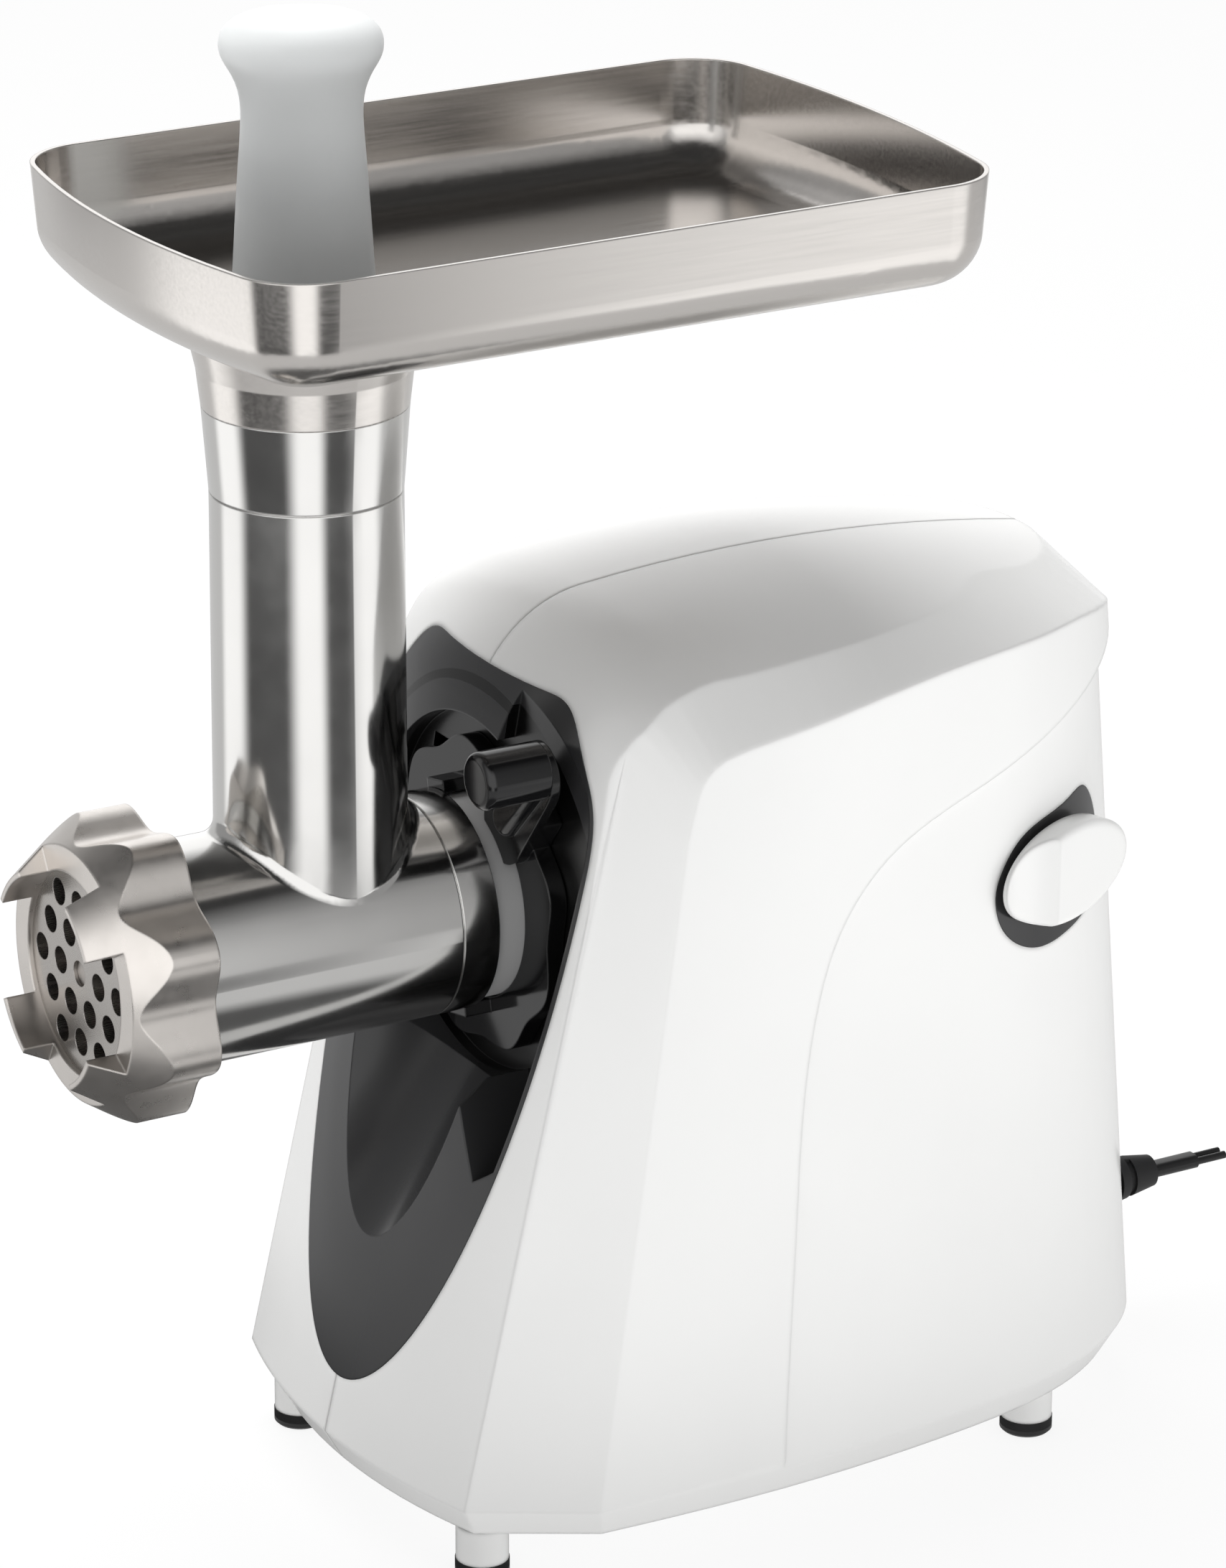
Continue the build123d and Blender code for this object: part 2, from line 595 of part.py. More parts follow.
def feed_screw():
    """Feed screw with its flight, knife square, stud and hexagon socket."""
    y0, y1 = SCREW_Y
    core = spin_y([(0, y0), (SCREW_CORE_R, y0), (SCREW_CORE_R + 4.0, y1), (0, y1)])
    height = y1 - y0 - 10.0
    path = Helix(SCREW_PITCH, height, SCREW_CORE_R)
    start = Plane(origin=path @ 0, x_dir=(1, 0, 0), z_dir=path % 0)
    depth = SCREW_R - SCREW_CORE_R
    blade = start * (Pos(depth / 2, 0) * Rectangle(depth + 3.0, FLIGHT_T))
    flight = sweep(blade, path=path, is_frenet=True)
    place = Plane((0, y0 + 5.0, AXIS_Z), x_dir=(1, 0, 0), z_dir=(0, 1, 0))
    flight = place * flight
    flight = flight & tube_y(5.0, SCREW_R, y0, y1)
    square = along_y(Pos(*OUT_AXIS) * Rectangle(SQUARE, SQUARE), PLATE_FRONT_Y + PLATE_T + 0.1, y0)
    stud = rod_y(STUD_R, PLATE_FRONT_Y + 1.0, PLATE_FRONT_Y + PLATE_T + 0.1)
    journal = rod_y(SCREW_JOURNAL_R, y1, SPIGOT_END_Y)
    socket = along_y(Pos(*OUT_AXIS) * RegularPolygon(HEX_R + 0.05, 6), -78.0, SPIGOT_END_Y + 1)
    return core + flight + square + stud + journal - socket


def tray_outline(inset, z):
    """Rounded plan outline of the tray at height z, moved inward by the inset."""
    x = TRAY_X - inset
    y0, y1 = TRAY_Y[0] + inset, TRAY_Y[1] - inset
    b0, b1 = TRAY_BOW
    face = make_face([ThreePointArc((-x, y0 + b0, 0), (0, y0, 0), (x, y0 + b0, 0)),
                      Line((x, y0 + b0, 0), (x, y1 - b1, 0)),
                      ThreePointArc((x, y1 - b1, 0), (0, y1, 0), (-x, y1 - b1, 0)),
                      Line((-x, y1 - b1, 0), (-x, y0 + b0, 0))])
    return Pos(0, 0, z) * fillet(face.vertices(), TRAY_CORNER - inset)


def pan_form(inset, top):
    """Solid drawn pan with a rounded bottom edge, moved inward by the inset."""
    f = TRAY_FLOOR_Z + inset
    pan = loft([tray_outline(TRAY_DRAFT + inset, f), tray_outline(inset, RIM_Z + top)], ruled=True)
    return fillet(pan.faces().sort_by(Axis.Z)[0].edges(), TRAY_EDGE_R - inset)


def tray():
    """Deep-drawn tray with a flared spout that plugs into the neck."""
    f = TRAY_FLOOR_Z
    pan = pan_form(0, 0) - pan_form(TRAY_T, 0.5)
    plug_r = NECK_BORE - 0.1
    spout = spin_z([(SPOUT_IN_R, SPOUT_LOW_Z), (plug_r, SPOUT_LOW_Z), (plug_r, NECK_TOP_Z),
                    (NECK_TOP_R, NECK_TOP_Z), (29.0, 337.0), (30.8, 345.0), (34.0, 350.0), (38.0, f + 0.2),
                    (38.0, f + TRAY_T), (SPOUT_IN_R, f + TRAY_T)], 0, NECK_Y)
    return pan - rod_z(SPOUT_IN_R, f - 5, f + 5, 0, NECK_Y) + spout


def pusher():
    """Hollow pusher with a waisted grip."""
    side = Spline([(r, 0, z) for r, z in PUSHER_SIDE])
    top, low = PUSHER_SIDE[0], PUSHER_SIDE[-1]
    cap = Polyline((low[0], 0, low[1]), (0, 0, low[1]), (0, 0, top[1]), (top[0], 0, top[1]))
    solid = revolve(make_face([side, cap]), Axis.Z)
    r = low[0] - PUSHER_WALL
    hollow = spin_z([(0, low[1]), (r, low[1]), (r - 1.0, 340.0), (13.5, 395.0), (0, 398.0)])
    return Pos(0, NECK_Y, 0) * (solid - hollow)


def head_socket():
    """Light grey sleeve that receives the rear of the head."""
    return tube_y(SOCKET_BORE, SOCKET_R, COLLAR_END_Y, CASE_FRONT_Y)


def peg_axis():
    """Where the finger peg stands, in (X, Z)."""
    return PEG_AT[0], AXIS_Z + PEG_AT[1]


def lock_ring():
    """Lobed lock ring with a radial arm."""
    ring = lobed(LOCK_R, LOCK_LOBE, LOCK_LOBES, 0.3)
    far = Pos(PEG_AT[0] * 0.95, PEG_AT[1] * 0.95) * Circle(9.5)
    near = Pos(PEG_AT[0] * 0.55, PEG_AT[1] * 0.55) * Circle(10.5)
    arm = make_hull((far + near).edges())
    bore = Circle(SOCKET_R + GAP)
    lever = along_y(Pos(*OUT_AXIS) * (ring - bore), *LOCK_Y)
    lever = lever + along_y(Pos(*OUT_AXIS) * (arm - bore), LOCK_Y[0] - ARM_RISE, LOCK_Y[1])
    inner = Pos(PEG_AT[0] * 0.62, PEG_AT[1] * 0.62) * Circle(RIB_R[0])
    outer = Pos(PEG_AT[0] * 0.98, PEG_AT[1] * 0.98) * Circle(RIB_R[1])
    rib = along_y(Pos(*OUT_AXIS) * make_hull((inner + outer).edges()), LOCK_Y[0] - RIB_H, LOCK_Y[0] - ARM_RISE)
    rib = fillet(rib.edges().group_by(Axis.Y)[0], 2.4)
    lever = lever + (rib - rod_y(PEG_R, PEG_FRONT_Y, LOCK_Y[0] - ARM_RISE, peg_axis()))
    for turn in CLAW_DEG:
        claw = Pos(SOCKET_R + 2 * GAP + CLAW_T / 2, 0) * Rectangle(CLAW_T, CLAW_W)
        lever = lever + along_y(Pos(*OUT_AXIS) * (Rot(0, 0, turn) * claw), COLLAR_END_Y + GAP, LOCK_Y[0])
    return lever - tube_y(ARM_STEP_R, 95.0, LOCK_Y[1] - ARM_STEP, LOCK_Y[1] + 1)


def lock_peg():
    """Cylindrical finger peg on the lock arm."""
    peg = rod_y(PEG_R, PEG_FRONT_Y, LOCK_Y[0] - ARM_RISE, peg_axis())
    return fillet(peg.edges().sort_by(Axis.Y)[0], 2.2)


def gear_face(module, teeth, addendum, dedendum, phase):
    """Toothed outline with involute flanks, one tooth centred at the phase angle."""
    rp = module * teeth / 2
    rb = rp * math.cos(math.radians(20))
    ra = rp + addendum * module
    rr = rp - dedendum * module
    half = math.pi / (2 * teeth) - BACKLASH / (2 * rp)

    def inv(r):
        a = math.acos(min(1.0, rb / r))
        return math.tan(a) - a

    radii = [rr, max(rb, rr + 0.05), rp, ra]
    points = []
    for i in range(teeth):
        mid = phase + 2 * math.pi * i / teeth
        flank = [(r, half + inv(rp) - inv(r)) for r in radii]
        for r, t in flank:
            points.append((r * math.cos(mid - t), r * math.sin(mid - t)))
        for r, t in reversed(flank):
            points.append((r * math.cos(mid + t), r * math.sin(mid + t)))
    return make_face(Polyline(points, close=True))


def mesh_pair(stage, wheel_axis, pinion_axis):
    """Wheel and pinion outlines in mesh at rest, each about its own axis."""
    module, small, large, _, _ = stage
    toward = math.atan2(pinion_axis[1] - wheel_axis[1], pinion_axis[0] - wheel_axis[0])
    wheel = Pos(*wheel_axis) * gear_face(module, large, 0.75, 1.2, toward)
    pinion = Pos(*pinion_axis) * gear_face(module, small, 1.0, 0.95, toward + math.pi + math.pi / small)
    return wheel, pinion


def drive_spindle():
    """Stepped spindle with the hexagon that drives the feed screw."""
    shoulder = COVER_Y[0] - 0.3
    spindle = rod_y(SPINDLE_R, CASE_FRONT_Y, shoulder) + rod_y(SPINDLE_R - 2, shoulder, COVER_Y[1])
    return spindle + along_y(Pos(*OUT_AXIS) * RegularPolygon(HEX_R, 6), -77.0, CASE_FRONT_Y)


def case_hull(grow):
    """Outline round the whole gear train in (X, Z)."""
    rounds = [(OUT_AXIS, 33.6), (SECOND_AXIS, 26.5), (FIRST_AXIS, 26.0), (MOTOR_AXIS, 12.0)]
    edges = []
    for axis, r in rounds:
        edges += (Pos(*axis) * Circle(r + grow)).edges()
    return make_hull(edges)


def gearbox_case():
    """Cup round the gears, standing on the bottom plate."""
    outer = case_hull(CASE_T)
    case = along_y(outer, CASE_FRONT_Y, COVER_Y[0]) - along_y(case_hull(0), CASE_WALL_Y, COVER_Y[0])
    leg = box(-10, 10, CASE_FRONT_Y, COVER_Y[0], FLOOR_Z, MOTOR_AXIS[1] - 12.5)
    foot = box(-26, 26, CASE_FRONT_Y, COVER_Y[0], FLOOR_Z, FLOOR_Z + 4.0)
    case = case + leg + foot
    case = case - rod_y(BUSH_R, CASE_FRONT_Y - 1, CASE_WALL_Y)
    for axis in (SECOND_AXIS, FIRST_AXIS):
        case = case - rod_y(SHAFT_R + FIT, CASE_FRONT_Y + 1.5, CASE_WALL_Y, axis)
    return case


def gearbox_cover():
    """Rear plate of the gear case, also the motor mount."""
    square = Pos(*MOTOR_AXIS) * RectangleRounded(2 * STATOR_HALF, 2 * STATOR_HALF, 4)
    plate = along_y(case_hull(CASE_T) + square, *COVER_Y)
    plate = plate - rod_y(SPINDLE_R - 2 + FIT, COVER_Y[0] - 1, COVER_Y[1] + 1)
    for axis in (SECOND_AXIS, FIRST_AXIS):
        plate = plate - rod_y(SHAFT_R + FIT, COVER_Y[0] - 1, COVER_Y[1] + 1, axis)
    plate = plate - rod_y(MOTOR_SHAFT_R + 2.5, COVER_Y[0] - 1, COVER_Y[1] + 1, MOTOR_AXIS)
    for bolt in tie_rods(2.0):
        plate = plate - bolt
    return plate


def tie_rods(r):
    """The four motor tie bolt shanks."""
    y0, y1 = COVER_Y[0], REAR_BELL_Y
    spots = [(x, MOTOR_AXIS[1] + z) for x in (-TIE_X, TIE_X) for z in (-TIE_X, TIE_X)]
    return [rod_y(r, y0, y1, spot) for spot in spots]


def motor_bolts():
    """Four tie bolts with hexagon heads at the rear."""
    group = []
    for bolt in tie_rods(2.0):
        c = bolt.bounding_box().center()
        head = along_y(Pos(c.X, c.Z) * RegularPolygon(3.6, 6), REAR_BELL_Y, REAR_BELL_Y + 3.0)
        group.append(bolt + head)
    return Compound(children=group)


def motor_bell(y_open, y_shut):
    """Square end bell with a bearing seat and vents."""
    lo, hi = min(y_open, y_shut), max(y_open, y_shut)
    square = Pos(*MOTOR_AXIS) * RectangleRounded(2 * STATOR_HALF, 2 * STATOR_HALF, 4)
    room = Pos(*MOTOR_AXIS) * Circle(STATOR_HALF - 3.0)
    bell = along_y(square, lo, hi)
    inner = (lo + BELL_T, hi) if y_shut < y_open else (lo, hi - BELL_T)
    bell = bell - along_y(room, *inner) - rod_y(BEARING_R, lo - 1, hi + 1, MOTOR_AXIS)
    for bolt in tie_rods(2.0):
        bell = bell - bolt
    for k in range(6):
        a = math.radians(60 * k + 30)
        spot = (MOTOR_AXIS[0] + 21 * math.cos(a), MOTOR_AXIS[1] + 21 * math.sin(a))
        bell = bell - rod_y(4.5, lo - 1, hi + 1, spot)
    return bell


def motor_stator():
    """Square lamination stack with two poles."""
    square = Pos(*MOTOR_AXIS) * RectangleRounded(2 * STATOR_HALF, 2 * STATOR_HALF, 4)
    slots = Circle(STATOR_BORE)
    for k in range(4):
        slots = slots + Rot(0, 0, 45 + 90 * k) * (Pos(27.0, 0) * Circle(3.0))
    stack = along_y(square - Pos(*MOTOR_AXIS) * slots, *STATOR_Y)
    for bolt in tie_rods(2.0):
        stack = stack - bolt
    return stack


def stator_coils():
    """Field coils: end turns joined by the slot conductors."""
    y0, y1 = STATOR_Y
    coil = tube_y(23.0, 31.0, y0 - 5.0, y0, MOTOR_AXIS) + tube_y(23.0, 31.0, y1, y1 + 5.0, MOTOR_AXIS)
    for k in range(4):
        a = math.radians(45 + 90 * k)
        spot = (MOTOR_AXIS[0] + 27 * math.cos(a), MOTOR_AXIS[1] + 27 * math.sin(a))
        coil = coil + rod_y(2.8, y0 - 1, y1 + 1, spot)
    return coil


def armature_core():
    """Slotted rotor stack."""
    y0, y1 = STATOR_Y[0] + 1.0, STATOR_Y[1] - 1.0
    ring = Circle(ARMATURE_R) - Circle(MOTOR_SHAFT_R)
    for k in range(12):
        ring = ring - Rot(0, 0, 30 * k) * (Pos(17.0, 0) * Circle(2.2))
    return along_y(Pos(*MOTOR_AXIS) * ring, y0, y1)


def armature_windings():
    """Copper windings through the rotor slots with both end heads."""
    y0, y1 = STATOR_Y[0] + 1.0, STATOR_Y[1] - 1.0
    wind = tube_y(MOTOR_SHAFT_R + 2.0, 20.5, y0 - 5.0, y0, MOTOR_AXIS)
    wind = wind + tube_y(MOTOR_SHAFT_R + 2.0, 20.5, y1, y1 + 6.0, MOTOR_AXIS)
    for k in range(12):
        a = math.radians(30 * k)
        spot = (MOTOR_AXIS[0] + 17 * math.cos(a), MOTOR_AXIS[1] + 17 * math.sin(a))
        wind = wind + rod_y(2.2, y0 - 1, y1 + 1, spot)
    return wind


def commutator():
    """Copper commutator with its segment slots."""
    y0, y1 = 3.6, 12.6
    ring = Circle(COMMUTATOR_R) - Circle(MOTOR_SHAFT_R)
    for k in range(12):
        ring = ring - Rot(0, 0, 30 * k + 15) * (Pos(COMMUTATOR_R, 0) * Rectangle(2.4, 0.7))
    return along_y(Pos(*MOTOR_AXIS) * ring, y0, y1)


def brush_set():
    """Two brush holders through the front bell, and their carbon brushes."""
    x0, z = COMMUTATOR_R + 0.15, MOTOR_AXIS[1]
    y = 8.1
    brush = box(x0, 24, y - 2.5, y + 2.5, z - 3.5, z + 3.5)
    case = box(x0 + 3.5, STATOR_HALF + 4, y - 4, y + 4, z - 5, z + 5)
    case = case - box(0, 28, y - 2.5, y + 2.5, z - 3.5, z + 3.5)
    holders = Compound(children=[case, mirror(case, Plane.YZ)])
    brushes = Compound(children=[brush, mirror(brush, Plane.YZ)])
    return holders, brushes, box(-60, 60, y - 4, y + 4, z - 5, z + 5)


def cooling_fan():
    """Radial fan behind the rotor."""
    y0, y1 = 72.0, 84.0
    fan = rod_y(8.0, y0, y1, MOTOR_AXIS) + rod_y(28.0, y1 - 2.0, y1, MOTOR_AXIS)
    for k in range(10):
        vane = Pos(*MOTOR_AXIS) * (Rot(0, 0, 36 * k) * (Pos(17.0, 0) * Rectangle(20.0, 1.6)))
        fan = fan + along_y(vane, y0, y1)
    return fan - rod_y(MOTOR_SHAFT_R, y0 - 1, y1 + 1, MOTOR_AXIS)


def bearing(y0, y1, bore):
    """Ball bearing as one ring with a race groove on each side."""
    ring = tube_y(bore, BEARING_R, y0, y1, MOTOR_AXIS)
    for a, b in ((y0 - 1, y0 + 0.6), (y1 - 0.6, y1 + 1)):
        ring = ring - tube_y(bore + 1.4, BEARING_R - 1.4, a, b, MOTOR_AXIS)
    return ring


def motor_cradle():
    """Saddle that carries the motor on the bottom plate."""
    z1 = MOTOR_AXIS[1] - STATOR_HALF
    y0, y1 = STATOR_Y
    walls = box(-26, 26, y0 + 3, y0 + 9, FLOOR_Z, z1) + box(-26, 26, y1 - 9, y1 - 3, FLOOR_Z, z1)
    return walls + box(-30, 30, y0, y1, FLOOR_Z, FLOOR_Z + 4.0)


def base_screws():
    """Four screws from below through the bottom plate into the cradle and gear case."""
    group = []
    for x in (-20.0, 20.0):
        for y in (-30.0, 40.0):
            head = rod_z(3.6, BASE_Z, BASE_Z + 2.0, x, y)
            group.append(head + rod_z(SCREW_SHANK_R, BASE_Z, FLOOR_Z + 3.0, x, y))
    return group


def feet():
    """Post feet and their rubber pads."""
    posts, pads = [], []
    for x in (-FOOT_X, FOOT_X):
        for y in (-FOOT_Y, FOOT_Y):
            posts.append(rod_z(FOOT_R, PAD_H, BASE_Z, x, y))
            pad = rod_z(FOOT_R + 0.2, 0, PAD_H, x, y)
            pads.append(chamfer(pad.edges().sort_by(Axis.Z)[0], 0.8))
    return Compound(children=posts), Compound(children=pads)


def flat_cord(w, h, y0, y1):
    """Flat oval bar along Y at the cord height."""
    return along_y(Pos(0, CORD_Z) * SlotOverall(w, h), y0, y1)


def strain_relief():
    """Moulded sleeve with a domed outer end and flexing slots."""
    a, b, c, d, e = RELIEF_Y
    r = RELIEF_HOLE_R
    sleeve = spin_y([(0, a), (9.4, a), (9.4, b), (r - 0.05, b), (r - 0.05, c), (7.3, c), (7.3, d - 4),
                     (6.6, d), (4.8, e), (0, e)], (0, CORD_Z))
    for y in RELIEF_SLOTS:
        ring = tube_y(5.2, 9.0, y, y + 2.2, (0, CORD_Z))
        web = box(-1.5, 1.5, y - 1, y + 4, CORD_Z - 20, CORD_Z + 20)
        sleeve = sleeve - (ring - web)
    return sleeve - flat_cord(CORD_W, CORD_H, a - 1, e + 1)


def cord_cores():
    """Two insulated cores leaving the jacket."""
    cores = [rod_y(CORE_R, JACKET_Y[1], CORE_TIP_Y, (x, CORD_Z)) for x in (-1.6, 1.6)]
    return Compound(children=cores)


def cord_clamp():
    """Clamp block over the cord inside the housing."""
    y0, y1 = 116.0, 126.0
    block = box(-9, 9, y0, y1, FLOOR_Z, CORD_Z + 6.0)
    return block - flat_cord(CORD_W, CORD_H, y0 - 1, y1 + 1)


def save(name, solid):
    """Write one node, each of its solids moved to the written frame."""
    moved = [Pos(0, FRAME_Y, 0) * piece for piece in solid.solids()]
    export_step(moved[0] if len(moved) == 1 else Compound(children=moved), f"parts/{name}.step")


def main():
    """Build and write every node."""
    body, core = housing_body()
    left, right, bezel, base = housing_parts(body, core)
    holders, brushes, brush_slot = brush_set()
    posts, pads = feet()
    out_wheel, out_pinion = mesh_pair(STAGE3, OUT_AXIS, SECOND_AXIS)
    second_wheel, second_pinion = mesh_pair(STAGE2, SECOND_AXIS, FIRST_AXIS)
    first_wheel, motor_pinion = mesh_pair(STAGE1, FIRST_AXIS, MOTOR_AXIS)
    screws = base_screws()
    for screw in screws:
        base = base - screw
    cradle, case = motor_cradle(), gearbox_case()
    for screw in screws:
        cradle, case = cradle - screw, case - screw
    save("housing_left", left)
    save("housing_right", right)
    save("base_plate", base)
    save("front_panel", front_panel(body))
    save("knob_bezel", bezel)
    save("housing_screws", housing_screws())
    save("base_screws", Compound(children=screws))
    save("foot_posts", posts)
    save("foot_pads", pads)
    save("control_knob", control_knob())
    save("rotary_switch", rotary_switch())
    save("grinder_head", grinder_head())
    save("ring_nut", ring_nut())
    save("grinding_plate", grinding_plate())
    save("cutting_knife", cutting_knife())
    save("feed_screw", feed_screw())
    save("tray", tray())
    save("pusher", pusher())
    save("head_socket", head_socket())
    save("lock_ring", lock_ring())
    save("lock_peg", lock_peg())
    save("gearbox_case", case)
    save("gearbox_cover", gearbox_cover())
    save("spindle_bush", tube_y(SPINDLE_R + FIT, BUSH_R, CASE_FRONT_Y, CASE_WALL_Y))
    save("drive_spindle", drive_spindle())
    save("output_gear", along_y(out_wheel, *STAGE3[3:]) - rod_y(SPINDLE_R, -60, 0))
    save("second_pinion", along_y(out_pinion, *STAGE3[3:]) - rod_y(SHAFT_R, -60, 0, SECOND_AXIS))
    save("second_gear", along_y(second_wheel, *STAGE2[3:]) - rod_y(SHAFT_R, -60, 0, SECOND_AXIS))
    save("second_shaft", rod_y(SHAFT_R, CASE_FRONT_Y + 1.7, COVER_Y[1], SECOND_AXIS))
    save("first_pinion", along_y(second_pinion, *STAGE2[3:]) - rod_y(SHAFT_R, -60, 0, FIRST_AXIS))
    save("first_gear", along_y(first_wheel, *STAGE1[3:]) - rod_y(SHAFT_R, -60, 0, FIRST_AXIS))
    save("first_shaft", rod_y(SHAFT_R, CASE_FRONT_Y + 1.7, COVER_Y[1], FIRST_AXIS))
    save("motor_pinion", along_y(motor_pinion, *STAGE1[3:]) - rod_y(MOTOR_SHAFT_R, -60, 0, MOTOR_AXIS))
    save("motor_shaft", rod_y(MOTOR_SHAFT_R, -15.0, 98.0, MOTOR_AXIS))
    save("motor_front_bell", motor_bell(STATOR_Y[0], COVER_Y[1]) - brush_slot)
    save("motor_rear_bell", motor_bell(STATOR_Y[1], REAR_BELL_Y))
    save("motor_stator", motor_stator())
    save("stator_coils", stator_coils())
    save("motor_bolts", motor_bolts())
    save("motor_cradle", cradle)
    save("armature_core", armature_core())
    save("armature_windings", armature_windings())
    save("commutator", commutator())
    save("cooling_fan", cooling_fan())
    save("brush_holders", holders)
    save("carbon_brushes", brushes)
    save("front_bearing", bearing(COVER_Y[1], COVER_Y[1] + BELL_T, MOTOR_SHAFT_R + FIT))
    save("rear_bearing", bearing(REAR_BELL_Y - BELL_T, REAR_BELL_Y, MOTOR_SHAFT_R + FIT))
    save("strain_relief", strain_relief())
    save("cord_jacket", flat_cord(CORD_W, CORD_H, *JACKET_Y))
    save("cord_cores", cord_cores())
    save("cord_clamp", cord_clamp())


if __name__ == "__main__":
    main()
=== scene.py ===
"""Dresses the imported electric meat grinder: finishes, modelled pieces, studio and camera."""
import logging
import math
from dataclasses import dataclass
from enum import Enum

import bmesh
import bpy
from mathutils import Matrix, Vector


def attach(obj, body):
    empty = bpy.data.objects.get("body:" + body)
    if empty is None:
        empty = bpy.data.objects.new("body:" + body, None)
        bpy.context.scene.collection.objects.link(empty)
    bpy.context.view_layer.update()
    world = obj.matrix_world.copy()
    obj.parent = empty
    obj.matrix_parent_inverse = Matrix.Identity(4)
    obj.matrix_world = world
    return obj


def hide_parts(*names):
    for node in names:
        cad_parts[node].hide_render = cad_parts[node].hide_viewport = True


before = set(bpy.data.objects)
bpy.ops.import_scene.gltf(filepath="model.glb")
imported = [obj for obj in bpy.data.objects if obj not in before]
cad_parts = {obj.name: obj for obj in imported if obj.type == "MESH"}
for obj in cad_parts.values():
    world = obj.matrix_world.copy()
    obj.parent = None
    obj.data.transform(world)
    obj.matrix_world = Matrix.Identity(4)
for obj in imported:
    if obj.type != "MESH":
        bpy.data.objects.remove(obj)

LOG = logging.getLogger("meat_grinder")
MM = 0.001
WHITE = (1.0, 1.0, 1.0, 1.0)
# The middle half of a noise's range, where nearly all of its values lie
NOISE_RANGE = (0.25, 0.75)
# The Wave Texture's ring spacing at a scale of 1
RING_PITCH = 0.314
# How far a polish line is drawn out along its axis, as a scale
DRAW_SCALE = 0.03
# How far light goes into a milky plastic, in millimetres
SOAK_MM = 4.0


def linear(code: str) -> tuple[float, float, float, float]:
    """Turn an sRGB hex colour into linear values.

    Args:
        code: six hex digits, with or without a leading hash.

    Returns:
        Red, green, blue and a full alpha.
    """
    code = code.lstrip("#")
    parts = [int(code[i:i + 2], 16) / 255 for i in (0, 2, 4)]
    mapped = [c / 12.92 if c <= 0.04045 else ((c + 0.055) / 1.055) ** 2.4 for c in parts]
    return (mapped[0], mapped[1], mapped[2], 1.0)


def add_node(tree: bpy.types.NodeTree, kind: str, settings: dict | None = None,
             links: dict | None = None) -> bpy.types.Node:
    """Add one shader node.

    Args:
        tree: the node tree that takes it.
        kind: Blender's node type.
        settings: properties by name, or socket values by socket name or number.
        links: the output socket that feeds each input, by name or number.

    Returns:
        The new node.
    """
    node = tree.nodes.new(kind)
    for key, value in (settings or {}).items():
        if isinstance(key, str) and hasattr(node, key):
            setattr(node, key, value)
        else:
            node.inputs[key].default_value = value
    for key, source in (links or {}).items():
        tree.links.new(source, node.inputs[key])
    return node


class Grain(Enum):
    """How the making of a piece marks its surface."""

    MOULDED = "shallow tool texture, alike in every direction"
    BLASTED = "fine matt pits"
    DRAWN = "polish lines along one axis"
    TURNED = "rings round one axis"


